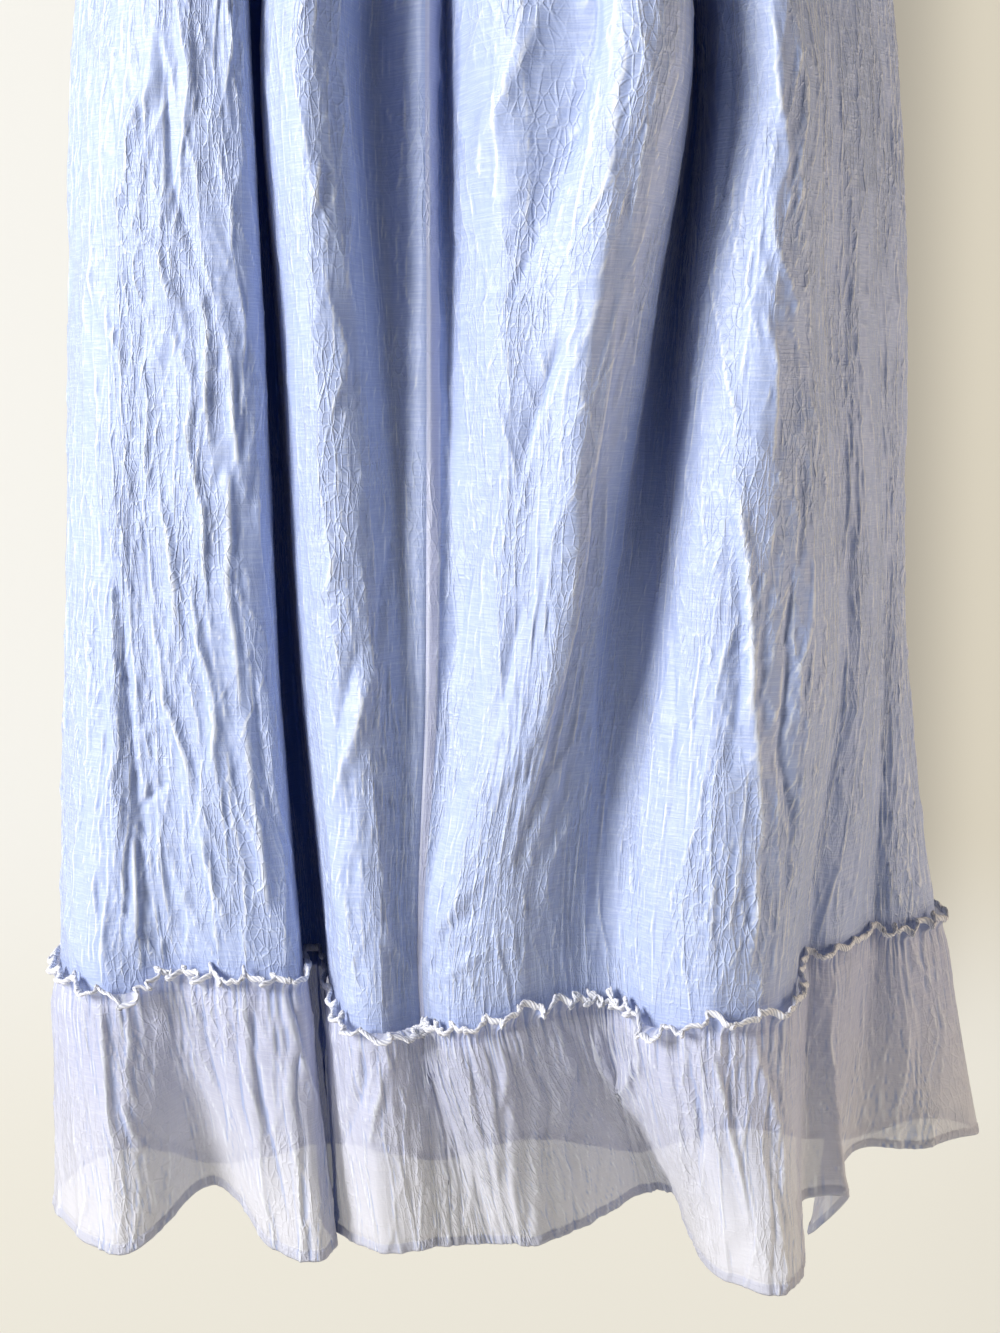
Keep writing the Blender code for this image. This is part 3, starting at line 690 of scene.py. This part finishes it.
def panel(skirt, name, first, last, steps, seams):
    """A panel from the waistband to just under the flounce, between two places round it."""
    across_step, down_step = steps
    cloth = places_between(first, last, across_step)
    top, foot = BAND_FOOT - SEAM_GAP, SEAM - PANEL_TUCK
    heights = np.linspace(top, foot, round((top - foot) / down_step))
    line = skirt.line(heights, cloth)
    fall = -heights[:, None] + 0.0 * cloth
    round_it = cloth[None, :] + 0.0 * fall
    sag = smooth((LOWER - heights) / (LOWER - SEAM))[:, None] * line[..., SEAM_DROP]
    square = outward(line)
    below = BAND_FOOT - heights[:, None]
    rise = 0.35 + 0.65 * smooth(below / WAIST_GATHER_RISE)
    fade = 1.0 - smooth(below / WAIST_GATHER_FADE)
    wide, narrow = Gathers(61, skirt.round, 21 * MM), Gathers(62, skirt.round, 10 * MM)
    gather = 0.75 * wide.wave(round_it, below, 0.9) + 0.5 * narrow.wave(round_it, below, 0.25)
    free = beside_seams(cloth, seams, PANEL_FREE)
    gather = WAIST_GATHER * rise * fade * gather * free
    plan = line[..., :2] + square * gather[..., None]
    points = np.dstack((plan, heights[:, None] - sag))
    normals = normals_of(points)
    held = smooth(below / 0.05) * (0.3 + 0.7 * smooth((heights[:, None] - SEAM) / 0.03))
    lean = np.interp(cloth, (0.0, 0.5 * skirt.seam_at, skirt.seam_at), CRINKLE_LEAN)
    amount = (0.15 + 0.85 * line[..., CRINKLED]) * free * held
    relief = gauze_relief(round_it, fall, amount, lean)
    relief += main_creases(points, normals, PANEL_CREASES) * free * held
    relief -= GROOVE * (1.0 - beside_seams(cloth, seams, GROOVE_WIDE))
    past = cloth - skirt.seam_at
    relief += ALLOWANCE_RISE * smooth(past / MM) * (1.0 - smooth((past - ALLOWANCE) / MM + 1.0))
    points = points + normals * relief[..., None]
    shut = shelter(skirt, heights, cloth)
    bend = bend_of(relief, across_step)
    return cloth_sheet(name, points[::-1], round_it[::-1], fall[::-1], shut[::-1], bend[::-1])


# How high the flounce's gathers stand at each distance down from the stitch, in millimetres:
# frill waves of the free heading, fine gathers at the stitch, and the deeper folds below.
FRILL = ((-10, 5.2), (-6, 3.4), (-2, 0.8), (4, 0.0))
FRILL_CURL = ((-10, 3.4), (-6, 1.6), (-2, 0.2), (4, 0.0))
FRILL_NOD = ((-10, 5.2), (-6, 2.2), (-2, 0.2), (4, 0.0))
TINY = ((-10, 1.0), (-3, 0.7), (0, 0.5), (6, 0.35), (20, 0.15), (60, 0.05))
FINE = ((-10, 0.6), (-2, 0.9), (0, 0.9), (14, 0.65), (40, 0.4), (80, 0.2), (160, 0.1))
DEEP = ((-10, 0.6), (0, 0.6), (14, 0.8), (50, 1.0), (100, 1.1), (160, 1.2))
FLOUNCE_LENGTH = SEAM - HEM
# how far a fold leans from the seam to the hem before its gathers hang straight instead
LEAN_KEPT = 35 * MM
# how strongly the highlight painted on the flounce's gather crests and the shade painted in its
# creases show, next to the panels' crinkles
FLOUNCE_BEND = 0.8
HEM_WALL = 1.1 * MM


def along_fall(table, fall):
    """A height from one of the tables above, at each distance down from the stitch."""
    return MM * np.interp(fall / MM, [row[0] for row in table], [row[1] for row in table])


def flop_share(across):
    """How far the heading flops outward at each place: 0 upright, 1 right over."""
    share = np.zeros(across.shape)
    for middle, left, right in FLOPS:
        away = across / MM - middle
        share = np.maximum(share, 1.0 - np.abs(away) / np.where(away < 0, left, right))
    return smooth(share)


def hung_straight(skirt, cloth, line):
    """How far round the cloth the front's gathers shift, so that they hang straight down."""
    lean = line[..., ACROSS] - line[:1, :, ACROSS]
    on_front = smooth((skirt.right_at - cloth) / LEAN_KEPT)[None, :]
    return lean * smooth(lean / LEAN_KEPT) * on_front


def flounce_points(skirt, cloth, fall):
    """The gathered flounce as [distance down from the stitch, place round it, xyz]."""
    fall = fall[:, None]
    down = np.maximum(fall, 0.0)
    share = down / FLOUNCE_LENGTH
    line = skirt.line(SEAM - down[:, 0], cloth)
    at_seam = skirt.line(np.array([SEAM]), cloth)
    square = outward(line)
    along = np.stack((-square[..., 1], square[..., 0]), axis=2)
    gather = at_seam[..., GATHER]
    heading = np.where(at_seam[..., DEPTH] < 0.0, flop_share(at_seam[..., ACROSS]), 0.0)
    above = np.clip(-fall / HEADING, 0.0, 1.0)

    round_it = cloth[None, :] + 0.0 * fall
    free = beside_seams(cloth, (0.0, skirt.right_at, skirt.round), FLOUNCE_FREE)
    frill = Gathers(71, skirt.round, 19 * MM)
    tiny, fine = Gathers(72, skirt.round, 4.2 * MM), Gathers(73, skirt.round, 8 * MM)
    deep = Gathers(74, skirt.round, 25 * MM)
    ruffle = frill.wave(round_it, 0.0 * fall, 1.0)
    wave = along_fall(FRILL, fall) * ruffle
    wave = wave + along_fall(TINY, fall) * tiny.wave(round_it, down, 0.05)
    straight = hung_straight(skirt, cloth, line)
    waver = round_it + straight + (3.2 * MM * noise(78, round_it / 0.030, down / 0.030)
                                   * smooth(down / 0.02))
    wave = wave + along_fall(FINE, fall) * fine.wave(waver, down, 0.13)
    wave = wave + along_fall(DEEP, fall) * deep.wave(waver, 0.3 * down, 0.3)
    wave = wave * (0.25 + 0.75 * gather) * free
    curl = along_fall(FRILL_CURL, fall) * np.sin(2.0 * frill.phase(round_it) + 0.9) * free * gather

    full = SEAM_GATHER * gather
    stand = SEAT + STITCH_DRAW * full
    opened = SEAT + (HEADING_SPREAD * full + HEADING_FLARE * gather) + FLOP_REACH * heading
    upper = stand + (opened - stand) * above**1.3
    lower = (1.0 - smooth(share)) * (SEAT + full)
    eased = stand + (lower - stand) * smooth(down / 0.012)
    offset = np.where(fall < 0.0, upper, eased) + wave
    plan = line[..., :2] + square * offset[..., None] + along * curl[..., None]
    drop = at_seam[..., SEAM_DROP]
    sag = (1.0 - share) * drop + smooth(share) * line[..., HEM_DROP]
    uneven = 1.2 * MM * noise(77, cloth / 0.021, 0.0 * cloth)[None, :] * (share + above) * free
    nod = along_fall(FRILL_NOD, fall) * (ruffle + 0.3 * tiny.wave(round_it, 0.0 * fall, 1.0)) * free
    height = SEAM - sag - fall - FLOP_SINK * heading * above**1.5 - nod * gather + uneven
    return np.dstack((plan, height)), line, wave


def hem_rows(fall):
    """The row to copy and how far to lift it for the narrow hem, from its inner edge round."""
    count = len(fall)
    fold = [k for k in range(count) if fall[k] > FLOUNCE_LENGTH - HEM_FOLD]
    inner = [(k, -HEM_WALL) for k in fold[:-1]]
    bottom = [(fold[-1], -0.5 * HEM_WALL)]
    outer = [(k, 0.35 * MM) for k in reversed(fold[:-1])]
    stitched = [(fold[0] - 1, -0.25 * MM)]
    rest = [(k, 0.0) for k in range(fold[0] - 2, -1, -1)]
    return inner + bottom + outer + stitched + rest


def flounce(skirt, name, first, last, step):
    """One half of the flounce, its heading above the stitch and its narrow hem below."""
    cloth = places_between(first, last, step)
    heading = np.linspace(-HEADING, 0.0, 9)
    upper = np.linspace(0.0, 0.030, 13)[1:]
    middle = np.linspace(0.030, FLOUNCE_LENGTH - HEM_FOLD - 1.2 * MM, 34)[1:]
    low = np.linspace(FLOUNCE_LENGTH - HEM_FOLD - 0.6 * MM, FLOUNCE_LENGTH, 7)
    fall = np.concatenate((heading, upper, middle, low))
    points, line, wave = flounce_points(skirt, cloth, fall)
    normals = normals_of(points)
    round_it = cloth[None, :] + 0.0 * fall[:, None]
    down = fall[:, None] + 0.0 * cloth[None, :]
    free = beside_seams(cloth, (0.0, skirt.right_at, skirt.round), FLOUNCE_FREE)
    loose = smooth(fall[:, None] / 0.02) * free
    straight = hung_straight(skirt, cloth, line)
    swim = (round_it + straight + 9 * MM * noise(82, round_it / 0.050, down / 0.07)
            + 2 * MM * noise(84, round_it / 0.014, down / 0.025))
    patch = smooth(0.5 + 0.9 * noise(86, round_it / 0.070, down / 0.060))
    swell = noise(85, round_it / 0.04, down / 0.06)
    sharp = layered_creases(FLOUNCE_LAYERS, swim, down, patch)
    relief = loose * MM * (sharp + 1.1 * swell)
    relief = relief + main_creases(points, normals, FLOUNCE_CREASES) * loose
    shut = shelter(skirt, SEAM - np.maximum(fall, 0.0), cloth)
    bend = bend_of((relief + wave)[:, ::2], 2.0 * step)
    bend = FLOUNCE_BEND * np.repeat(bend, 2, axis=1)[:, :len(cloth)]
    points = points + normals * relief[..., None]
    rows = hem_rows(fall)
    index = [row for row, _ in rows]
    lift = np.array([lift for _, lift in rows])[:, None, None]
    points = points[index] + normals[index] * lift
    return cloth_sheet(name, points, round_it[index], down[index], shut[index], bend[index])


# the casing: its length round, its wall, its two lines of stitches and its gathers' height
BAND_ROUND = 0.87
BAND_WALL = 1.2 * MM
BAND_ROLL = 1.1 * MM
BAND_STITCHES = (-0.004, -0.031)
BAND_STITCH_REACH = 1.6 * MM
BAND_GATHER = 1.5 * MM
BAND_ROWS = 12
ROLL_ROWS = 6


def band_profile():
    """The casing's rows as (height, side): up its outer face, over, and down its inner face."""
    height = -BAND_FOOT
    outer = [(BAND_FOOT + height * k / BAND_ROWS, 1.0) for k in range(BAND_ROWS)]
    turns = [math.pi * k / ROLL_ROWS for k in range(ROLL_ROWS + 1)]
    roll = [(-BAND_ROLL + BAND_ROLL * math.sin(turn), math.cos(turn)) for turn in turns]
    inner = [(-BAND_ROLL - (height - BAND_ROLL) * k / BAND_ROWS, -1.0)
             for k in range(1, BAND_ROWS + 1)]
    return outer + roll + inner


def waistband(skirt):
    """The casing gathered on its elastic: outer face, rolled top edge and inner face."""
    cloth = np.linspace(0.0, skirt.round, round(BAND_ROUND / BAND_STEP))
    line = skirt.line(np.array([BAND_FOOT]), cloth)
    square = outward(np.concatenate((line[:, -2:-1], line, line[:, 1:2]), axis=1))[:, 1:-1]
    wide, narrow = Gathers(91, skirt.round, 15 * MM), Gathers(92, skirt.round, 8 * MM)
    round_it = cloth[None, :]
    wave = 0.6 * wide.wave(round_it, 0.0, 1.0) + 0.55 * narrow.wave(round_it, 0.0, 1.0)
    profile = band_profile()
    rows = []
    for z, side in profile:
        held = 1.0
        for at in BAND_STITCHES:
            held -= 0.75 * math.exp(-((z - at) / BAND_STITCH_REACH) ** 2)
        offset = BAND_GATHER * wave + side * BAND_WALL * (0.35 + 0.65 * held)
        plan = line[0, :, :2] + square[0] * offset.T
        rows.append(np.column_stack((plan, np.full(len(cloth), z))))
    points = np.array(rows)
    points[:, -1] = points[:, 0]
    fall = np.array([-z if side > 0 else z for z, side in profile])[:, None] + 0.0 * cloth
    piece = cloth_sheet("waistband_gauze", points, round_it + 0.0 * fall, fall)
    merge_doubles(piece)
    return piece


# the overlocked thread along the heading's top edge
THREAD_TALL = 4.8 * MM
THREAD_THICK = 2.0 * MM
THREAD_BULGE = 0.35 * MM
THREAD_SIDES = 8
THREAD_STEP = 0.75 * MM
STITCH_APART = 1.6 * MM
TURN_APART = 1.1 * MM


def thread_edge(skirt):
    """White thread sewn over the flounce's top edge, one loop all round."""
    cloth = np.linspace(0.0, skirt.round, round(skirt.round / THREAD_STEP))
    points, _, _ = flounce_points(skirt, cloth, np.array([-HEADING, -HEADING + THREAD_TALL]))
    edge, below = points
    edge[-1], below[-1] = edge[0], below[0]
    up = edge - below
    up /= np.linalg.norm(up, axis=1, keepdims=True)
    along = np.gradient(edge, axis=0)
    along[0] = along[-1] = edge[1] - edge[-2]
    out = np.cross(along, up)
    out /= np.linalg.norm(out, axis=1, keepdims=True)
    stitch = 0.5 + 0.5 * np.sin(2.0 * math.pi * cloth / STITCH_APART)
    rows = []
    for side in range(THREAD_SIDES + 1):
        turn = 2.0 * math.pi * side / THREAD_SIDES
        tall = 0.5 * THREAD_TALL * math.cos(turn)
        thick = 0.5 * (THREAD_THICK + THREAD_BULGE * stitch) * math.sin(turn)
        middle = edge - up * 0.42 * THREAD_TALL
        rows.append(middle + up * tall + out * thick[:, None])
    points = np.array(rows)
    wrap = np.linspace(0.0, 2.0 * THREAD_TALL, THREAD_SIDES + 1)[:, None] + 0.0 * cloth
    piece = cloth_sheet("overlocked_edge", points[::-1], cloth[None, :] + 0.0 * wrap, wrap)
    merge_doubles(piece)
    return piece


# materials


class Nodes:
    """Adds nodes to one material or group and joins them up."""

    def __init__(self, tree):
        self.tree = tree
        tree.nodes.clear()

    def add(self, kind, inputs=(), **settings):
        node = self.tree.nodes.new(kind)
        for key, value in settings.items():
            setattr(node, key, value)
        for name, value in dict(inputs).items():
            if isinstance(value, bpy.types.NodeSocket):
                self.tree.links.new(value, node.inputs[name])
            else:
                node.inputs[name].default_value = value
        return node

    def math(self, operation, a, b=0.0, c=0.0):
        return self.add("ShaderNodeMath", {0: a, 1: b, 2: c}, operation=operation).outputs[0]

    def stretched(self, vector, scale, offset=(0.0, 0.0, 0.0)):
        inputs = {"Vector": vector, "Scale": scale, "Location": offset}
        return self.add("ShaderNodeMapping", inputs).outputs[0]

    def noise(self, vector, detail, roughness=0.5):
        inputs = {"Vector": vector, "Scale": 1.0, "Detail": detail, "Roughness": roughness}
        return self.add("ShaderNodeTexNoise", inputs, noise_dimensions="2D").outputs["Fac"]

    def span(self, value, low, high, to_low=0.0, to_high=1.0):
        inputs = {"Value": value, "From Min": low, "From Max": high, "To Min": to_low,
                  "To Max": to_high}
        made = self.add("ShaderNodeMapRange", inputs, interpolation_type="SMOOTHSTEP")
        return made.outputs["Result"]

    def mix(self, share, a, b):
        return self.add("ShaderNodeMix", {0: share, 6: a, 7: b}, data_type="RGBA").outputs[2]

    def blend(self, share, a, b):
        return self.add("ShaderNodeMixShader", {0: share, 1: a, 2: b}).outputs[0]

    def split(self, vector):
        return self.add("ShaderNodeSeparateXYZ", {"Vector": vector}).outputs

    def finish(self, surface):
        self.add("ShaderNodeOutputMaterial", {"Surface": surface})


def new_material(name):
    """An empty material, and what adds its nodes."""
    made = bpy.data.materials.new(name)
    made.use_nodes = True
    return made, Nodes(made.node_tree)


def gauze_weave_group():
    """The fine surface of crinkled gauze: its height, its crease ridges and its uneven thread."""
    group = bpy.data.node_groups.new("gauze surface", "ShaderNodeTree")
    face = group.interface
    face.new_socket("Cloth", in_out="INPUT", socket_type="NodeSocketVector")
    for name in ("Height", "Ridges", "Slubs"):
        face.new_socket(name, in_out="OUTPUT", socket_type="NodeSocketFloat")
    made = Nodes(group)
    cloth = made.add("NodeGroupInput").outputs["Cloth"]
    swim = made.noise(made.stretched(cloth, (60, 22, 1)), 1.0)
    shifted = made.add("ShaderNodeVectorMath", {0: swim, 1: (0.006, 0.01, 0.0)},
                       operation="MULTIPLY").outputs[0]
    moved = made.add("ShaderNodeVectorMath", {0: cloth, 1: shifted}, operation="ADD").outputs[0]

    def edges(scale, wide, offset):
        cells = made.add("ShaderNodeTexVoronoi",
                         {"Vector": made.stretched(moved, scale, offset), "Scale": 1.0},
                         feature="DISTANCE_TO_EDGE", voronoi_dimensions="2D")
        return made.span(cells.outputs["Distance"], 0.0, wide, 1.0, 0.0)

    long_ridges = edges((170, 30, 1), 0.13, (0, 0, 0))
    short_ridges = edges((330, 120, 1), 0.15, (7, 3, 0))
    fine = made.noise(made.stretched(cloth, (700, 260, 1)), 2.0, 0.6)
    slubs = made.noise(made.stretched(cloth, (55, 1000, 1)), 2.0, 0.65)
    patches = made.span(made.noise(made.stretched(cloth, (26, 9, 1)), 2.0, 0.55), 0.35, 0.62)
    ridges = made.math("MULTIPLY_ADD", long_ridges, 0.55, made.math("MULTIPLY", short_ridges, 0.45))
    ridges = made.math("MULTIPLY", ridges, made.math("MULTIPLY_ADD", patches, 0.75, 0.1))
    height = made.math("MULTIPLY_ADD", fine, 0.16, ridges)
    height = made.math("MULTIPLY_ADD", slubs, 0.42, height)
    made.add("NodeGroupOutput", {"Height": height, "Ridges": ridges, "Slubs": slubs})
    return group


# the gauze's colours: in its furrows, darker as painted shade, on its ridges, paler as a painted
# highlight, and where a thick thread runs
PANEL_COLOURS = ((0.43, 0.52, 0.80, 1.0), (0.55, 0.64, 0.88, 1.0), (0.66, 0.73, 0.92, 1.0))
FLOUNCE_COLOURS = ((0.54, 0.57, 0.76, 1.0), (0.64, 0.67, 0.84, 1.0), (0.74, 0.76, 0.88, 1.0))
LIT_THROUGH_COLOUR = (0.68, 0.68, 0.73, 1.0)
HEM_COLOUR = (0.54, 0.56, 0.68, 1.0)
ALLOWANCE_COLOUR = (0.62, 0.58, 0.68, 1.0)
# a painted highlight on sharp crests and painted shade in sharp creases
CREST_HIGHLIGHT_COLOUR = (0.86, 0.90, 0.97, 1.0)
CREASE_SHADE_COLOUR = (0.30, 0.39, 0.68, 1.0)
# painted shade deep in folds that shut a place in
FOLD_SHADE_COLOUR = (0.03, 0.09, 0.34, 1.0)

# how much light the gauze lets through, and how much of the flounce is thread and not gaps
LETTING_THROUGH = 0.12
FLOUNCE_COVER = 0.80
# from where to where down the flounce its colour is painted paler, as the light behind showing
# through the sheer cloth
LIT_THROUGH_START, LIT_THROUGH_END = 0.02, 0.15


def gauze_material(name, weave, colours, cover=1.0, seam=None, fades=False):
    """Translucent gauze. cover is how much of it is thread, and seam is where an allowance
    shows through, pressed to the right. With fades, it is painted paler downward to its hem, as
    the light behind showing through the sheer cloth. Its colour also holds painted shade in
    furrows, creases and shut-in folds, and painted highlights on ridges and crests."""
    made, nodes = new_material(name)
    cloth = nodes.add("ShaderNodeUVMap", uv_map="UVMap").outputs[0]
    surface = nodes.add("ShaderNodeGroup", {"Cloth": cloth}, node_tree=weave).outputs
    ridges = surface["Ridges"]
    furrow, ridge, pale = colours
    # painted shade in the weave's furrows and a painted highlight on its ridges
    colour = nodes.mix(nodes.span(ridges, 0.05, 0.75), furrow, ridge)
    colour = nodes.mix(nodes.span(surface["Slubs"], 0.42, 0.70, 0.0, 0.42), colour, pale)
    place = nodes.split(cloth)
    if fades:
        # painted light: paler downward, where the light behind shows through the sheer flounce
        lit_through = nodes.span(place["Y"], LIT_THROUGH_START, LIT_THROUGH_END, 0.0, 0.75)
        colour = nodes.mix(lit_through, colour, LIT_THROUGH_COLOUR)
        fold = FLOUNCE_LENGTH - HEM_FOLD
        hem = nodes.span(place["Y"], fold - 0.4 * MM, fold + 0.4 * MM, 0.0, 0.55)
        colour = nodes.mix(hem, colour, HEM_COLOUR)
    if seam:
        begun = nodes.span(place["X"], seam, seam + 0.5 * MM)
        edge = seam + ALLOWANCE
        over = nodes.span(place["X"], edge, edge + 0.5 * MM, 0.45, 0.0)
        colour = nodes.mix(nodes.math("MULTIPLY", begun, over), colour, ALLOWANCE_COLOUR)
    bend = nodes.add("ShaderNodeAttribute", attribute_name="bend").outputs["Fac"]
    shut = nodes.add("ShaderNodeAttribute", attribute_name="shut").outputs["Fac"]
    crease = nodes.math("MULTIPLY", bend, -1.0)
    # Painted shade in sharp creases, a painted highlight on sharp crests, and painted shade deep in
    # shut-in folds.
    painted_shading = (
        (crease, 0.05, 0.80, 0.70, CREASE_SHADE_COLOUR),
        (bend, 0.12, 0.90, 0.70, CREST_HIGHLIGHT_COLOUR),
        (shut, 0.48, 0.92, 0.92, FOLD_SHADE_COLOUR),
    )
    for value, low, high, most, tint in painted_shading:
        colour = nodes.mix(nodes.span(value, low, high, 0.0, most), colour, tint)
    bump = nodes.add("ShaderNodeBump", {"Height": surface["Height"], "Strength": 0.8,
                                        "Distance": 0.9 * MM}).outputs[0]
    rough = nodes.math("MULTIPLY_ADD", ridges, -0.10, 0.44)
    face = nodes.add("ShaderNodeBsdfPrincipled", {
        "Base Color": colour, "Roughness": rough, "Normal": bump, "Alpha": cover,
        "Sheen Weight": 0.5, "Sheen Roughness": 0.3, "Sheen Tint": (0.95, 0.97, 1.0, 1.0),
        "Specular IOR Level": 0.55})
    through = nodes.add("ShaderNodeBsdfTranslucent", {"Color": colour, "Normal": bump})
    nodes.finish(nodes.blend(LETTING_THROUGH, face.outputs[0], through.outputs[0]))
    return made


def thread_material():
    """White overlock thread, lying in slanting turns over the edge."""
    made, nodes = new_material("white overlock thread")
    place = nodes.split(nodes.add("ShaderNodeUVMap", uv_map="UVMap").outputs[0])
    slanted = nodes.math("MULTIPLY_ADD", place["Y"], 0.5, place["X"])
    turns = nodes.math("SINE", nodes.math("MULTIPLY", slanted, 2.0 * math.pi / TURN_APART))
    share = nodes.span(turns, -0.9, 0.6)
    colour = nodes.mix(share, (0.56, 0.58, 0.68, 1.0), (0.86, 0.87, 0.92, 1.0))
    bump = nodes.add("ShaderNodeBump", {"Height": share, "Strength": 0.8, "Distance": 0.3 * MM})
    face = nodes.add("ShaderNodeBsdfPrincipled", {
        "Base Color": colour, "Roughness": 0.6, "Normal": bump.outputs[0],
        "Sheen Weight": 0.3})
    nodes.finish(face.outputs[0])
    return made


# the wall's painted daylight: its colour where lit, lower down and dimmer to the right, in the
# skirt's painted shadow beside it, and how strongly it glows in place of being lit
WALL_LIT = (0.93, 0.92, 0.87, 1.0)
WALL_LOW = (0.90, 0.87, 0.77, 1.0)
WALL_DIM = (0.75, 0.70, 0.58, 1.0)
WALL_SHADE = (0.44, 0.41, 0.35, 1.0)
WALL_GLOW = 0.69
BLACK = (0.0, 0.0, 0.0, 1.0)
FLOOR_LIGHT = (0.82, 0.80, 0.76, 1.0)
FLOOR_DARK = (0.965 * 0.82, 0.965 * 0.80, 0.965 * 0.76, 1.0)


def floor_material():
    """A matt, faintly uneven floor."""
    made, nodes = new_material("pale floor")
    place = nodes.add("ShaderNodeTexCoord").outputs["Object"]
    mottle = nodes.add("ShaderNodeTexNoise", {"Vector": place, "Scale": 2.2}).outputs["Fac"]
    face = nodes.add("ShaderNodeBsdfPrincipled", {
        "Base Color": nodes.mix(mottle, FLOOR_DARK, FLOOR_LIGHT), "Roughness": 0.9,
        "Specular IOR Level": 0.1})
    nodes.finish(face.outputs[0])
    return made


def wall_material():
    """A cream wall whose daylight, falling off to the right and downward, and the skirt's shadow
    just right of it are painted into its colour and its glow. It isn't there when seen from behind."""
    made, nodes = new_material("cream wall")
    place = nodes.split(nodes.add("ShaderNodeTexCoord").outputs["Object"])
    low = nodes.span(place["Z"], -0.85, -1.40)
    right = nodes.span(place["X"], 0.10, 0.48)
    high_right = nodes.math("MULTIPLY", right, nodes.span(place["Z"], -1.25, -0.90))
    tint = nodes.mix(low, WALL_LIT, WALL_LOW)
    tint = nodes.mix(high_right, tint, WALL_DIM)
    # the skirt's shadow, painted on the wall just right of it
    beside = nodes.math("MULTIPLY_ADD", place["Z"], 0.038, place["X"])
    shade = nodes.math("MULTIPLY", nodes.span(beside, 0.41, 0.53, 1.0, 0.0), high_right)
    tint = nodes.mix(shade, tint, WALL_SHADE)
    face = nodes.add("ShaderNodeBsdfPrincipled", {
        "Base Color": nodes.mix(0.78, tint, BLACK), "Roughness": 0.9, "Emission Color": tint,
        "Emission Strength": WALL_GLOW, "Specular IOR Level": 0.0})
    behind = nodes.add("ShaderNodeNewGeometry").outputs["Backfacing"]
    clear = nodes.add("ShaderNodeBsdfTransparent")
    nodes.finish(nodes.blend(behind, face.outputs[0], clear.outputs[0]))
    return made


STAGE_SIZE = 8.0
WALL_PLACE = (0.0, 0.90, 0.0)
FLOOR_PLACE = (0.0, 0.0, -1.55)
# each light's name, place, what it points at, size across, power and colour
LIGHTS = (
    ("window", (-2.8, -1.85, 0.65), (0.0, 0.0, -0.60), 1.5, 200.0, (1.0, 0.985, 0.97)),
    ("room", (2.4, -0.1, -0.5), (0.2, 0.0, -0.60), 1.4, 31.0, (1.0, 0.82, 0.62)),
)
AIR_COLOUR = (0.96, 0.97, 1.0, 1.0)
AIR_STRENGTH = 0.08

# where the photograph was taken from, the lens and its sensor in millimetres, and how many
# degrees downward it looks
CAMERA_PLACE = (0.0075, -1.05, -0.46)
LENS = 47.26
SENSOR = 36.0
LOOKING_DOWN = 8.0


def plane(name, place, material, turn=0.0):
    bpy.ops.object.select_all(action="DESELECT")
    bpy.ops.mesh.primitive_plane_add(size=STAGE_SIZE, location=place, rotation=(turn, 0.0, 0.0))
    made = bpy.context.object
    made.name = name
    bpy.ops.object.transform_apply(location=True, rotation=True, scale=True)
    made.data.materials.append(material)
    return made


def area_light(name, place, target, size, power, colour):
    lamp = bpy.data.lights.new(name, "AREA")
    lamp.shape = "DISK"
    lamp.size = size
    lamp.energy = power
    lamp.color = colour
    made = bpy.data.objects.new(name, lamp)
    made.location = place
    made.rotation_euler = (Vector(target) - Vector(place)).to_track_quat("-Z", "Y").to_euler()
    bpy.context.scene.collection.objects.link(made)


def studio():
    """A cream wall behind, a pale floor, a soft window light from the left, and a pale room."""
    wall = plane("wall", WALL_PLACE, wall_material(), turn=0.5 * math.pi)
    wall.visible_diffuse = False
    wall.visible_shadow = False
    plane("floor", FLOOR_PLACE, floor_material())
    for light in LIGHTS:
        area_light(*light)
    world = bpy.data.worlds.new("pale room")
    bpy.context.scene.world = world
    world.use_nodes = True
    air = world.node_tree.nodes["Background"].inputs
    air["Color"].default_value = AIR_COLOUR
    air["Strength"].default_value = AIR_STRENGTH
    bpy.context.scene.view_settings.view_transform = "Standard"


def camera():
    """Where the photograph was taken from: close, a little above the hem, looking slightly down."""
    lens = bpy.data.cameras.new("camera")
    lens.lens = LENS
    lens.sensor_width = SENSOR
    made = bpy.data.objects.new("camera", lens)
    made.location = CAMERA_PLACE
    made.rotation_euler = (math.radians(90.0 - LOOKING_DOWN), 0.0, 0.0)
    bpy.context.scene.collection.objects.link(made)
    bpy.context.scene.camera = made


def dress(piece, material, node=None):
    """Gives a cloth piece its material, attaches it to the root body, and hides the solid it stands
    for.
    """
    piece.data.materials.append(material)
    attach(piece, "root")
    if node:
        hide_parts(node)


def build():
    skirt = Skirt()
    weave = gauze_weave_group()
    panel_gauze = gauze_material("periwinkle gauze", weave, PANEL_COLOURS, seam=skirt.seam_at)
    flounce_gauze = gauze_material("pale flounce gauze", weave, FLOUNCE_COLOURS, FLOUNCE_COVER,
                                   fades=True)
    left, seam, right, end = 0.0, skirt.seam_at, skirt.right_at, skirt.round
    panels = (
        ("front_left", left, seam, PANEL_STEP),
        ("front_right", seam, right, PANEL_STEP),
        ("back", right, end, BACK_STEP),
    )
    for node, first, last, steps in panels:
        made = panel(skirt, node + "_gauze", first, last, steps, (left, seam, right, end))
        dress(made, panel_gauze, node)
    flounces = (
        ("flounce_front", left, right, FLOUNCE_STEP),
        ("flounce_back", right, end, BACK_FLOUNCE_STEP),
    )
    for node, first, last, step in flounces:
        made = flounce(skirt, node + "_gauze", first, last, step)
        dress(made, flounce_gauze, node)
    dress(waistband(skirt), panel_gauze, "waistband")
    dress(thread_edge(skirt), thread_material())


build()
studio()
camera()
